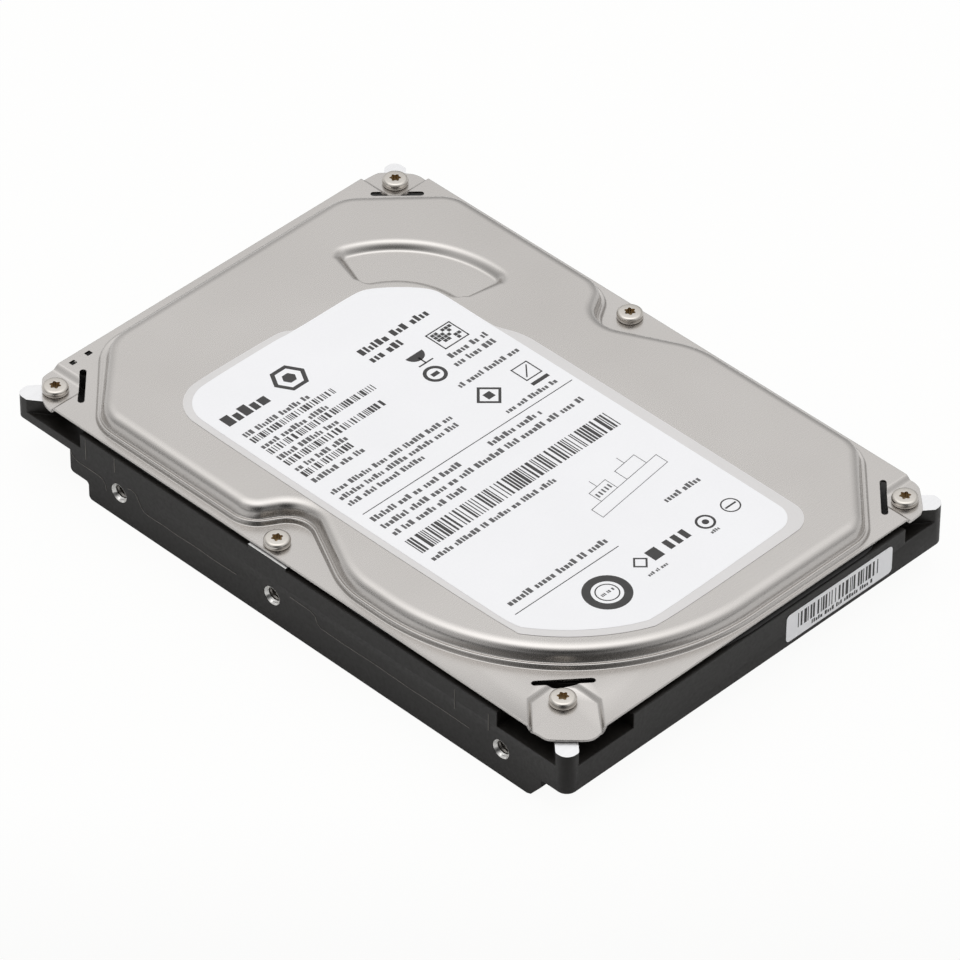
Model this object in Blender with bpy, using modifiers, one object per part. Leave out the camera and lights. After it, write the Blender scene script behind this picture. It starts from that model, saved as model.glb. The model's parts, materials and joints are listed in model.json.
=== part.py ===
"""3.5 inch hard disk drive with one disc: die-cast base, pressed cover, spindle motor, rotary
actuator, latch and circuit board.  Dimensions are millimetres; the finished meshes are scaled
to metres.  The origin is the bottom centre of the bounding box.  +Y points to the connector
end (rear), +Z up through the cover, +X to the right seen from above with the rear away."""

import math

import bmesh
import bpy
from mathutils import Matrix, Vector
from mathutils.geometry import delaunay_2d_cdt

# ================================================================ driving dimensions
LENGTH, WIDTH, HEIGHT = 146.99, 101.6, 19.98
HALF_WIDTH, HALF_LENGTH = WIDTH / 2, LENGTH / 2
FRONT_Y = -73.40                 # front face of the casting; the front label stands before it

# heights in the casting
FLOOR_BOTTOM, FLOOR_TOP = 5.4, 7.6
WALL_TOP = 14.6
PART_Z = FLOOR_TOP + 0.3         # underside of the parts that stand on the floor

# heights and half sizes of the cover
SHEET = 0.5                      # cover thickness
TAB_TOP, FLANGE_TOP, SHELF_TOP = 15.05, 16.0, 17.0
FIELD_TOP = 19.85                # top of the raised field
COVER_X, COVER_Y = 50.15, 72.7

SPINDLE = (0.0, -23.0)
PIVOT = (8.0, 32.6)
LATCH = (3.0, 60.5)
DISC_R, DISC_BORE_R, DISC_BOTTOM, DISC_TOP = 47.5, 12.5, 11.965, 13.235
DISC_MID = (DISC_BOTTOM + DISC_TOP) / 2

COVER_SCREWS = {
    "rear_left": (-45.55, 67.95), "rear_right": (45.3, 67.8),
    "mid_left": (-47.3, 5.4), "mid_right": (47.1, 5.4),
    "front_left": (-40.5, -62.2), "front_right": (45.05, -68.15),
}
PCB_SCREWS = ((-38.0, -6.0), (38.0, -6.0), (-38.0, 60.0), (38.0, 60.0))
FLEX_SCREW = (-17.0, 54.0)

# Cutters run out to these distances, clear of the body.
CLEAR_X, CLEAR_Y, CLEAR_Z = 60.0, 80.0, 30.0

# ---------------------------------------------------------------- actuator angles, degrees
ARM_TO_HEAD = 51.5
HEAD_R_INNER, HEAD_R_OUTER = 19.8, 45.8  # head's distance from the spindle at both stops
VCM_DIR = 34.0                           # middle of the magnet sector
COIL_HALF = 18.5                         # half angle of the coil frame

PIVOT_TO_SPINDLE = math.dist(SPINDLE, PIVOT)
SPINDLE_DIR = math.degrees(math.atan2(SPINDLE[1] - PIVOT[1], SPINDLE[0] - PIVOT[0])) % 360.0


def head_direction(head_radius):
    """Arm direction that puts the head at this distance from the spindle."""
    cosine = ((PIVOT_TO_SPINDLE ** 2 + ARM_TO_HEAD ** 2 - head_radius ** 2)
              / (2 * PIVOT_TO_SPINDLE * ARM_TO_HEAD))
    return SPINDLE_DIR - math.degrees(math.acos(cosine))


ARM_REST = head_direction(HEAD_R_INNER)
SWING = ARM_REST - head_direction(HEAD_R_OUTER)
COIL_REST = VCM_DIR + SWING / 2

# ================================================================ scene and materials
for old in list(bpy.data.objects):
    bpy.data.objects.remove(old, do_unlink=True)
PARTS = bpy.data.collections.new("hard_disk_drive")
CUTTERS = bpy.data.collections.new("cutters")
bpy.context.scene.collection.children.link(PARTS)
bpy.context.scene.collection.children.link(CUTTERS)


def material(name, color, rough, metal):
    made = bpy.data.materials.new(name)
    made.use_nodes = True
    shader = made.node_tree.nodes["Principled BSDF"]
    shader.inputs["Base Color"].default_value = (*color, 1.0)
    shader.inputs["Roughness"].default_value = rough
    shader.inputs["Metallic"].default_value = metal
    made.diffuse_color = (*color, 1.0)
    return made


CASTING = material("coated_casting", color=(0.045, 0.042, 0.040), rough=0.42, metal=0.25)
STAINLESS = material("stainless_sheet", color=(0.60, 0.57, 0.54), rough=0.38, metal=1.0)
RUBBER = material("seal_rubber", color=(0.03, 0.03, 0.03), rough=0.8, metal=0.0)
NICKEL = material("nickel_plate", color=(0.72, 0.69, 0.64), rough=0.22, metal=1.0)
LABEL = material("label_film", color=(0.86, 0.86, 0.88), rough=0.45, metal=0.0)
STEEL = material("steel", color=(0.55, 0.55, 0.56), rough=0.3, metal=1.0)
ALUMINIUM = material("aluminium", color=(0.75, 0.75, 0.76), rough=0.35, metal=1.0)
DISC = material("disc_surface", color=(0.80, 0.80, 0.80), rough=0.04, metal=1.0)
MAGNET = material("magnet_nickel", color=(0.70, 0.70, 0.70), rough=0.25, metal=1.0)
COPPER = material("copper_winding", color=(0.72, 0.38, 0.20), rough=0.35, metal=1.0)
PLASTIC = material("dark_plastic", color=(0.04, 0.04, 0.045), rough=0.5, metal=0.0)
AMBER = material("flex_film", color=(0.55, 0.28, 0.08), rough=0.35, metal=0.0)
BOARD = material("circuit_board", color=(0.02, 0.12, 0.10), rough=0.45, metal=0.0)
CHIP = material("chip_resin", color=(0.02, 0.02, 0.022), rough=0.55, metal=0.0)
FILTER = material("filter_fibre", color=(0.82, 0.82, 0.80), rough=0.9, metal=0.0)
FOAM = material("insulator_foam", color=(0.10, 0.10, 0.10), rough=0.9, metal=0.0)


# ================================================================ outlines (angles in degrees)
def polar(centre, radius, angle):
    turn = math.radians(angle)
    return (centre[0] + radius * math.cos(turn), centre[1] + radius * math.sin(turn))


def arc(centre, radius, start, end, steps):
    return [polar(centre, radius, start + (end - start) * i / steps) for i in range(steps + 1)]


def circle(centre, radius, steps):
    return [polar(centre, radius, 360.0 * i / steps) for i in range(steps)]


def corner_arc(before, corner, after, radius, steps):
    """Arc tangent to both sides of a corner: its centre and the spokes out to its points."""
    point = Vector(corner)
    back = (Vector(before) - point).normalized()
    ahead = (Vector(after) - point).normalized()
    half = math.acos(max(-1.0, min(1.0, back.dot(ahead)))) / 2
    reach = radius / math.tan(half)
    centre = point + (back + ahead).normalized() * (radius / math.sin(half))
    first, last = point + back * reach - centre, point + ahead * reach - centre
    turn = first.angle_signed(last)
    spokes = []
    for i in range(steps + 1):
        spoke = first.copy()
        spoke.rotate(Matrix.Rotation(-turn * i / steps, 2))
        spokes.append(spoke)
    return centre, spokes


def filleted(corners, steps):
    """Closed outline from (x, y, radius) corners, each rounded by a tangent arc."""
    outline = []
    for i, (x, y, radius) in enumerate(corners):
        after = corners[(i + 1) % len(corners)][:2]
        centre, spokes = corner_arc(corners[i - 1][:2], (x, y), after, radius, steps)
        outline += [tuple(centre + spoke) for spoke in spokes]
    return outline


def sector(centre, inner, outer, start, end, steps, fillet, fillet_steps=3):
    """Closed outline of an annular sector with its four corners rounded."""
    inner_trim = math.degrees(fillet / inner)
    outer_trim = math.degrees(fillet / outer)
    near, far = inner + fillet, outer - fillet

    def rounding(radius, angle, first):
        return arc(polar(centre, radius, angle), fillet, first, first + 90, fillet_steps)[1:-1]

    return (arc(centre, outer, start + outer_trim, end - outer_trim, steps)
            + rounding(far, end - outer_trim, end)
            + [polar(centre, far, end), polar(centre, near, end)]
            + rounding(near, end - inner_trim, end + 90)
            + arc(centre, inner, end - inner_trim, start + inner_trim, steps)
            + rounding(near, start + inner_trim, start + 180)
            + [polar(centre, near, start), polar(centre, far, start)]
            + rounding(far, start + outer_trim, start - 90))


def pill(start, end, radius, steps):
    """Outline of a straight slot with round ends."""
    heading = math.degrees(math.atan2(end[1] - start[1], end[0] - start[0]))
    return (arc(end, radius, heading - 90, heading + 90, steps)
            + arc(start, radius, heading + 90, heading + 270, steps))


def belt(start, start_r, end, end_r, steps):
    """Outline stretched round two circles."""
    run_x, run_y = end[0] - start[0], end[1] - start[1]
    heading = math.degrees(math.atan2(run_y, run_x))
    half = math.degrees(math.acos((start_r - end_r) / math.hypot(run_x, run_y)))
    return (arc(end, end_r, heading - half, heading + half, steps)
            + arc(start, start_r, heading + half, heading + 360 - half, steps))


# ================================================================ solids
# A piece without a material is a tool for a boolean and goes to the cutters.
def add(name, data, mat=None):
    piece = bpy.data.objects.new(name, data)
    (PARTS if mat else CUTTERS).objects.link(piece)
    if mat:
        data.materials.clear()
        data.materials.append(mat)
    return piece


def bake(piece):
    """Replace the object by its evaluated, cleaned mesh, keeping its name and place."""
    bpy.context.view_layer.update()
    graph = bpy.context.evaluated_depsgraph_get()
    mesh = bpy.data.meshes.new_from_object(piece.evaluated_get(graph), depsgraph=graph)
    name, place = piece.name, piece.matrix_world.copy()
    mat = piece.data.materials[0] if piece.data.materials else None
    bpy.data.objects.remove(piece, do_unlink=True)

    work = bmesh.new()
    work.from_mesh(mesh)
    bmesh.ops.remove_doubles(work, verts=work.verts, dist=1e-4)
    bmesh.ops.dissolve_degenerate(work, dist=1e-5, edges=work.edges)
    bmesh.ops.recalc_face_normals(work, faces=work.faces)
    work.to_mesh(mesh)
    work.free()
    baked = add(name, mesh, mat)
    baked.matrix_world = place
    return baked


def apply_place(piece):
    """Move the object's placement into its mesh."""
    piece.data.transform(piece.matrix_world)
    piece.matrix_world = Matrix.Identity(4)
    return piece


def plate(name, loops, bottom, top, mat=None):
    """Flat outline (first loop) with holes (other loops), from bottom to top."""
    curve = bpy.data.curves.new(name, "CURVE")
    curve.dimensions = "2D"
    curve.fill_mode = "BOTH"
    curve.extrude = (top - bottom) / 2
    for loop in loops:
        spline = curve.splines.new("POLY")
        spline.points.add(len(loop) - 1)
        for point, (x, y) in zip(spline.points, loop):
            point.co = (x, y, 0.0, 1.0)
        spline.use_cyclic_u = True
    piece = add(name, curve, mat)
    piece.location.z = (bottom + top) / 2
    return apply_place(bake(piece))


def profile_yz(name, outline, x_low, x_high, mat=None):
    """Outline given as (y, z), extruded along x."""
    piece = plate(name, [outline], x_low, x_high, mat)
    piece.data.transform(Matrix(((0, 0, 1, 0), (1, 0, 0, 0), (0, 1, 0, 0), (0, 0, 0, 1))))
    return piece


def profile_xz(name, outline, y_low, y_high, mat=None):
    """Outline given as (x, z), extruded along y."""
    piece = plate(name, [outline], -y_high, -y_low, mat)
    piece.data.transform(Matrix(((1, 0, 0, 0), (0, 0, -1, 0), (0, 1, 0, 0), (0, 0, 0, 1))))
    return piece


def box(name, low, high, mat=None):
    """Box between two opposite corners."""
    mesh = bpy.data.meshes.new(name)
    work = bmesh.new()
    bmesh.ops.create_cube(work, size=1.0)
    for vert in work.verts:
        vert.co = Vector([a if side < 0 else b for side, a, b in zip(vert.co, low, high)])
    work.to_mesh(mesh)
    work.free()
    return add(name, mesh, mat)


def cylinder(name, centre, radius, bottom, top, steps, mat=None, top_radius=None, along_x=False):
    """Upright cylinder or cone; along_x lays it along x, with centre read as (y, z)."""
    mesh = bpy.data.meshes.new(name)
    work = bmesh.new()
    bmesh.ops.create_cone(work, cap_ends=True, segments=steps, radius1=radius,
                          radius2=radius if top_radius is None else top_radius,
                          depth=top - bottom)
    place = Matrix.Translation((0, 0, (bottom + top) / 2))
    if along_x:
        place = (Matrix.Translation((0, centre[0], centre[1]))
                 @ Matrix.Rotation(math.radians(90), 4, "Y") @ place)
    else:
        place = Matrix.Translation((centre[0], centre[1], 0)) @ place
    bmesh.ops.transform(work, matrix=place, verts=work.verts)
    work.to_mesh(mesh)
    work.free()
    return add(name, mesh, mat)


def turned(name, profile, centre, steps, mat, closed=False):
    """Profile of (radius, z) turned about a vertical axis; closed joins its ends."""
    mesh = bpy.data.meshes.new(name)
    work = bmesh.new()
    verts = [work.verts.new((radius, 0.0, z)) for radius, z in profile]
    for pair in zip(verts, verts[1:]):
        work.edges.new(pair)
    if closed:
        work.edges.new((verts[-1], verts[0]))
    work.to_mesh(mesh)
    work.free()
    piece = add(name, mesh, mat)
    screw = piece.modifiers.new("turn", "SCREW")
    screw.axis = "Z"
    screw.angle = 2 * math.pi
    screw.steps = screw.render_steps = steps
    screw.use_merge_vertices = True
    screw.merge_threshold = 1e-4
    piece.location = (centre[0], centre[1], 0.0)
    return apply_place(bake(piece))


def ring(name, inner, outer, bottom, top, centre, steps, mat):
    """Turned ring of rectangular section."""
    section = [(inner, bottom), (outer, bottom), (outer, top), (inner, top)]
    return turned(name, section, centre, steps, mat, closed=True)


def combine(piece, tools, operation):
    for tool in tools:
        boolean = piece.modifiers.new("b", "BOOLEAN")
        boolean.operation = operation
        boolean.solver = "EXACT"
        boolean.object = tool
        piece = bake(piece)
        bpy.data.objects.remove(tool, do_unlink=True)
    return piece


def cut(piece, *tools):
    return combine(piece, tools, "DIFFERENCE")


def join(piece, *tools):
    return combine(piece, tools, "UNION")


SOCKET_DEPTH = 0.8
SOCKET_WAIST = 0.68              # inner radius of the six-point star over its outer radius


def pan_screw(name, shank_r, shank, head_r, head, steps, socket):
    """Screw whose head stands on z = 0, shank down, with a six-point socket."""
    profile = [(0.0, head), (head_r * 0.8, head), (head_r * 0.93, head - 0.3), (head_r, 0.0),
               (shank_r, 0.0), (shank_r, -shank), (0.0, -shank)]
    star = [polar((0, 0), socket * SOCKET_WAIST if i % 2 else socket, 30.0 * i)
            for i in range(12)]
    screw = turned(name, profile, (0, 0), steps, NICKEL)
    return cut(screw, plate("socket", [star], head - SOCKET_DEPTH, head + 1.0))


def screw_mesh(*args, **sizes):
    """Mesh of a pan screw alone, to be shared by several objects."""
    screw = pan_screw(*args, **sizes)
    mesh = screw.data
    bpy.data.objects.remove(screw)
    return mesh


# ================================================================ edge line of the cover's step
# Three chamfered corners, a pinch beside each middle screw, and a quarter arc round the disc.
# Columns: x, y, fillet radius, arc steps.  Counter-clockwise from the front.
STEP_CORNERS = [
    (31.3, -71.9, 8.0, 3), (48.6, -54.6, 8.0, 3),
    (48.6, -12.7, 20.0, 3), (38.8, 6.4, 5.0, 5), (48.6, 12.45, 4.6, 4),
    (48.6, 53.4, 9.0, 3), (31.6, 70.4, 10.0, 3),
    (-31.6, 70.4, 10.0, 3), (-48.6, 53.4, 9.0, 3),
    (-48.6, 12.45, 4.6, 4), (-38.8, 6.4, 5.0, 5), (-48.6, -12.7, 20.0, 3),
]
ARC_CENTRE, ARC_R, ARC_STEPS = (0.0, -23.2), 48.7, 12
SETBACK_Y, SETBACK_RUN = 58.0, 10.0  # the rear set-back starts here and is full after the run


def step_line():
    """Points of the edge line, each with its inward normal: ((x, y), (x, y))."""
    points = []
    path = [(0.0, ARC_CENTRE[1] - ARC_R)]
    path += [corner[:2] for corner in STEP_CORNERS]
    path.append((-ARC_R, ARC_CENTRE[1]))
    for i, (x, y, radius, steps) in enumerate(STEP_CORNERS):
        centre, spokes = corner_arc(path[i], (x, y), path[i + 2], radius, steps)
        # the inside lies towards the arc centre where the line turns left
        sign = -1 if spokes[0].cross(spokes[-1]) > 0 else 1
        points += [(tuple(centre + spoke), tuple((spoke * sign).normalized()))
                   for spoke in spokes]
    for x, y in arc((0.0, 0.0), 1.0, 180.0, 270.0, ARC_STEPS):
        points.append(((ARC_CENTRE[0] + ARC_R * x, ARC_CENTRE[1] + ARC_R * y), (-x, -y)))
    return points


STEP_LINE = step_line()


def offset_line(inset, setback=0.0):
    """The edge line moved inward; setback moves its rear stretch further to the front."""
    line = []
    for (x, y), (normal_x, normal_y) in STEP_LINE:
        blend = max(0.0, min(1.0, (y - SETBACK_Y) / SETBACK_RUN))
        blend = blend * blend * (3 - 2 * blend)
        line.append((x + normal_x * inset, y + normal_y * inset - setback * blend))
    return line


# ================================================================ base casting
FRONT_R, REAR_R = 2.25, 1.85     # vertical corner radii
CAVITY_INSET = 0.3

# side rails below the body, (y, z)
RAIL_INNER_X = 44.2
RAIL_PROFILE = [(-66.9, 6.4), (-66.9, 3.6), (-64.3, 0.35), (-63.3, 0.0), (53.5, 0.0),
                (53.5, 4.0), (58.5, 4.0), (58.5, 6.4)]

# raised floor at the rear and the room for the connectors under it
REAR_FLOOR_X, REAR_FLOOR_Y, REAR_FLOOR_Z = 40.0, (65.2, 70.6), (6.6, 9.0)
BAY_X, BAY_FRONT_Y, BAY_TOP = 42.0, 66.4, 7.3
CORNER_UNDER = 9.2               # top of the cut under each rear corner
CORNER_CUT = [(CLEAR_X, 58.5), (46.6, 58.5), (BAY_X, 63.1), (BAY_X, CLEAR_Y),
              (CLEAR_X, CLEAR_Y)]  # (x, y) on the right side

# corner pockets
POCKET_FLOOR, POST_TOP = 11.3, 14.4
POCKET_CLEAR_Y = 90.0
POST_ROOT_IN, POST_ROOT_Y, POST_ROOT_R = 1.9, 71.5, 2.15  # outer end of the post, off the side
FRONT_LEFT_Y, FRONT_LEFT_X = 55.5, 33.5  # where the front left pocket ends on side and front
POCKET_ARC_R = ARC_R + 2.0

# machined pads beside the middle cover screws
PAD_Y, PAD_Z, PAD_INNER_X, PAD_R = (-0.4, 9.6), (12.0, 15.3), 48.0, 3.1

MOTOR_BORE_R = 13.4
STANDOFF_R, STANDOFF_Z = 2.8, (2.7, 6.4)
STANDOFF_HOLE_R, STANDOFF_HOLE_TOP = 1.35, 5.6
COVER_HOLE_R = 1.6
MID_HOLE_BOTTOM, CORNER_HOLE_BOTTOM, FRONT_LEFT_DEPTH_Y = 8.8, 10.0, 60.0
FLEX_HOLE_R, FLEX_HOLE_Z = 1.25, (6.2, 12.0)

# mounting holes
SIDE_HOLES_Y = [HALF_LENGTH - 28.5 - pitch for pitch in (0.0, 41.61, 101.6)]
SIDE_HOLE_Z, SIDE_HOLE_END_X = 6.35, 45.6
BOTTOM_HOLES_Y = (HALF_LENGTH - 41.28, HALF_LENGTH - 41.28 - 44.45)
BOTTOM_HOLE_X, BOTTOM_HOLE_TOP = 95.25 / 2, 4.4
THREAD_R = 1.45                  # 6-32 UNC tapping radius
SINK_R, SINK_HALF = 2.65, 0.6    # countersink radius outside, reach each way from the face


def pocket(corner, side_y, end_x, inner, post_r):
    """Cutter open to both outer faces of a corner, round the post for the cover tab."""
    screw = COVER_SCREWS[corner]
    side, end = math.copysign(1, screw[0]), math.copysign(1, screw[1])
    root = (side * (HALF_WIDTH - POST_ROOT_IN), end * POST_ROOT_Y)
    outline = [(side * CLEAR_X, end * side_y), *inner, (side * end_x, end * POCKET_CLEAR_Y),
               (side * CLEAR_X, end * POCKET_CLEAR_Y)]
    tool = plate("pocket", [outline], POCKET_FLOOR, CLEAR_Z)
    post = belt(root, POST_ROOT_R, screw, post_r, 6)
    return cut(tool, plate("post", [post], 0.0, POST_TOP))


def cut_pockets(base):
    start = math.degrees(math.asin((FRONT_LEFT_Y + ARC_CENTRE[1]) / POCKET_ARC_R))
    end = math.degrees(math.acos(FRONT_LEFT_X / POCKET_ARC_R))
    round_disc = arc(ARC_CENTRE, POCKET_ARC_R, 180.0 + start, 180.0 + end, 7)
    # corner, end on the side face, end on the end face, inner edge, post radius at the screw
    for pocket_shape in (
            ("front_left", FRONT_LEFT_Y, FRONT_LEFT_X, round_disc, 2.12),
            ("front_right", 56.3, 39.5, [(49.7, -56.3), (39.5, -66.5)], 2.35),
            ("rear_left", 55.5, 38.5, [(-49.3, 55.5), (-38.5, 66.3)], 2.8),
            ("rear_right", 55.5, 38.5, [(49.7, 55.5), (38.5, 66.7)], 2.4)):
        base = cut(base, pocket(*pocket_shape))
    return base


def add_pads(base):
    for corner, side in (("mid_left", -1), ("mid_right", 1)):
        face, inner = side * HALF_WIDTH, side * PAD_INNER_X
        pad = plate("pad", [[(face, PAD_Y[0]), (face, PAD_Y[1]),
                             (inner, PAD_Y[1]), (inner, PAD_Y[0])]], *PAD_Z)
        pad = join(pad, cylinder("pad_round", COVER_SCREWS[corner], PAD_R, *PAD_Z, 14))
        base = join(base, pad)
    return base


def cut_mounting_holes(base):
    """Three holes in each side and two under each rail, all countersunk."""
    for side in (-1, 1):
        low_r, high_r = (SINK_R, THREAD_R) if side < 0 else (THREAD_R, SINK_R)
        bore_span = sorted((side * CLEAR_X, side * SIDE_HOLE_END_X))
        sink_span = sorted((side * (HALF_WIDTH + SINK_HALF), side * (HALF_WIDTH - SINK_HALF)))
        for y in SIDE_HOLES_Y:
            centre = (y, SIDE_HOLE_Z)
            base = cut(base,
                       cylinder("side_hole", centre, THREAD_R, *bore_span, 14, along_x=True),
                       cylinder("side_sink", centre, low_r, *sink_span, 14,
                                top_radius=high_r, along_x=True))
        for y in BOTTOM_HOLES_Y:
            centre = (side * BOTTOM_HOLE_X, y)
            base = cut(base,
                       cylinder("bottom_hole", centre, THREAD_R, -2.0, BOTTOM_HOLE_TOP, 14),
                       cylinder("bottom_sink", centre, SINK_R, -SINK_HALF, SINK_HALF, 14,
                                top_radius=THREAD_R))
    return base


def build_base():
    body = filleted([(-HALF_WIDTH, FRONT_Y, FRONT_R), (HALF_WIDTH, FRONT_Y, FRONT_R),
                     (HALF_WIDTH, HALF_LENGTH, REAR_R), (-HALF_WIDTH, HALF_LENGTH, REAR_R)], 5)
    base = plate("base_casting", [body], FLOOR_BOTTOM, WALL_TOP, CASTING)
    for side in (-1, 1):
        span = sorted((side * HALF_WIDTH, side * RAIL_INNER_X))
        base = join(base, profile_yz("rail", RAIL_PROFILE, *span))
    base = cut(base, plate("cavity", [offset_line(CAVITY_INSET)], FLOOR_TOP, CLEAR_Z))

    (front, rear), (low, high) = REAR_FLOOR_Y, REAR_FLOOR_Z
    base = join(base, box("rear_floor", (-REAR_FLOOR_X, front, low), (REAR_FLOOR_X, rear, high)))
    base = cut(base, box("connector_bay", (-BAY_X, BAY_FRONT_Y, 0.0), (BAY_X, CLEAR_Y, BAY_TOP)))
    for side in (-1, 1):
        outline = [(side * x, y) for x, y in CORNER_CUT]
        base = cut(base, plate("corner_under", [outline], 0.0, CORNER_UNDER))

    base = add_pads(cut_pockets(base))
    base = cut(base, cylinder("motor_bore", SPINDLE, MOTOR_BORE_R, 0.0, 12.0, 28))
    for centre in PCB_SCREWS:
        base = join(base, cylinder("standoff", centre, STANDOFF_R, *STANDOFF_Z, 12))
        base = cut(base, cylinder("standoff_hole", centre, STANDOFF_HOLE_R,
                                  0.0, STANDOFF_HOLE_TOP, 8))
    for centre in COVER_SCREWS.values():
        at_corner = abs(centre[1]) >= FRONT_LEFT_DEPTH_Y
        bottom = CORNER_HOLE_BOTTOM if at_corner else MID_HOLE_BOTTOM
        base = cut(base, cylinder("cover_screw_hole", centre, COVER_HOLE_R, bottom, CLEAR_Z, 10))
    base = cut(base, cylinder("flex_screw_hole", FLEX_SCREW, FLEX_HOLE_R, *FLEX_HOLE_Z, 8))
    cut_mounting_holes(base)


# ================================================================ cover
# Three tabs drop behind an L-shaped bend, by (side, end).  Columns: |x| and |y| where the bends
# start, |x| + |y| on the relief slot's centre line, widths of the bends along x and along y.
TAB_BENDS = {(-1, 1): (40.2, 63.25, 106.3, 1.65, 1.1), (1, 1): (40.6, 63.3, 106.7, 1.1, 1.1),
             (1, -1): (40.6, 63.75, 107.6, 1.1, 1.35)}
LEFT_TAB_TRIM = 0.3              # the rear left tab's corner is this much smaller
# The front left tab is a convex polygon (x, y) with an even bend round it.
FRONT_LEFT_TAB = [(-44.8, -58.6), (-56.0, -70.3), (-56.0, -82.0), (-49.5, -82.0),
                  (-36.6, -67.0), (-36.6, -61.4), (-38.9, -58.6)]
FRONT_LEFT_BEND = 1.1
FRONT_LEFT_EDGE = [(-COVER_X, -63.6), (-49.95, -65.2), (-49.9, -66.7), (-49.45, -67.8),
                   (-45.0, -72.4), (-43.9, -73.0), (-42.6, -73.1), (-40.3, -COVER_Y)]

# relief slots beside the tabs, from end to end
SLOT_R = 0.66
SLOTS = {"rear_left": ((-38.7, 67.55), (-44.9, 61.45)),
         "rear_right": ((39.1, 67.5), (45.7, 61.1)),
         "front_right": ((45.33, -62.31), (39.11, -68.44)),
         "front_left": ((-41.3, -55.8), (-33.3, -62.6))}
# two small rectangular holes at the rear edge
NOTCHES_X, NOTCH_HALF, NOTCH_Y = (-38.2, -34.2), 0.66, (70.33, 71.45)

# rise to the raised field: inset from the edge line, set-back at the rear, height
RISE = [(-0.45, 0.0, FLANGE_TOP), (0.05, 0.0, SHELF_TOP), (1.0, 0.8, 17.05), (1.3, 0.8, 18.8),
        (1.8, 0.8, 19.55), (2.7, 0.8, FIELD_TOP)]

# sector-shaped recess in the field
RECESS_CENTRE, RECESS_INNER, RECESS_OUTER = (9.6, 31.5), 14.4, 26.75
RECESS_START, RECESS_END, RECESS_DEPTH = -10.0, 73.0, 1.5
RECESS_FILLET, RECESS_MIN_FILLET = 2.6, 0.9
RECESS_TRIM_R = 24.0             # radius at which an inset is turned into an angle at the ends
# inset from the recess edge, height
RECESS_WALL = [(0.0, FIELD_TOP), (0.8, 19.2), (1.6, FIELD_TOP - RECESS_DEPTH)]

GASKET_OUT, GASKET_IN, GASKET_GAP = -1.25, -0.25, 0.15  # insets of its edges, gap each side


def half_planes(polygon):
    """Outward unit normals and offsets of a convex counter-clockwise polygon."""
    planes = []
    for (x, y), (next_x, next_y) in zip(polygon, polygon[1:] + polygon[:1]):
        length = math.hypot(next_x - x, next_y - y)
        normal_x, normal_y = (next_y - y) / length, -(next_x - x) / length
        planes.append((normal_x, normal_y, normal_x * x + normal_y * y))
    return planes


FRONT_LEFT_PLANES = half_planes(FRONT_LEFT_TAB)


def mitred(planes, distance):
    """Corners of the polygon of these half planes, moved outward."""
    corners = []
    for i, (bx_now, by_now, reach_now) in enumerate(planes):
        bx_last, by_last, reach_last = planes[i - 1]
        last, now = reach_last + distance, reach_now + distance
        determinant = bx_last * by_now - by_last * bx_now
        corners.append(((last * by_now - now * by_last) / determinant,
                        (bx_last * now - bx_now * last) / determinant))
    return corners


def tab_edge(side, end):
    """Outer edge of a tab, counter-clockwise."""
    bend_x, bend_y, _, width_x, width_y = TAB_BENDS[(side, end)]
    trim = LEFT_TAB_TRIM if side < 0 else 0.0
    points = [(COVER_X, bend_y), (50.2, bend_y + width_y), (50.3 - trim, 65.7),
              (49.95 - trim, 67.2 - trim), (49.3 - trim, 68.2 - trim),
              (45.9 - trim, 72.0 - trim), (44.9 - trim, 72.65),
              (bend_x + width_x, 72.8), (bend_x, COVER_Y)]
    points = [(side * x, end * y) for x, y in points]
    return points if side * end > 0 else points[::-1]


def flange_z(x, y):
    """Height of the flange, lowered at the four corner tabs."""
    if x < 0 and y < 0:
        outside = max(normal_x * x + normal_y * y - reach
                      for normal_x, normal_y, reach in FRONT_LEFT_PLANES)
        (start_x, start_y), (end_x, end_y) = SLOTS["front_left"]
        run_x, run_y = end_x - start_x, end_y - start_y
        past_slot = ((x - start_x) * run_y - (y - start_y) * run_x) / math.hypot(run_x, run_y)
        drop = min(1.0 - max(0.0, outside) / FRONT_LEFT_BEND, past_slot / SLOT_R)
    else:
        corner = (1 if x > 0 else -1, 1 if y > 0 else -1)
        bend_x, bend_y, slot, width_x, width_y = TAB_BENDS[corner]
        past_slot = (abs(x) + abs(y) - slot) * math.sqrt(0.5)
        drop = min((abs(x) - bend_x) / width_x, (abs(y) - bend_y) / width_y,
                   past_slot / SLOT_R)
    return FLANGE_TOP + (TAB_TOP - FLANGE_TOP) * max(0.0, min(1.0, drop))


def inside(point, polygon):
    x, y = point
    hit = False
    for (from_x, from_y), (to_x, to_y) in zip(polygon, polygon[1:] + polygon[:1]):
        crosses = (from_y > y) != (to_y > y)
        if crosses and x < (to_x - from_x) * (y - from_y) / (to_y - from_y) + from_x:
            hit = not hit
    return hit


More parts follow.
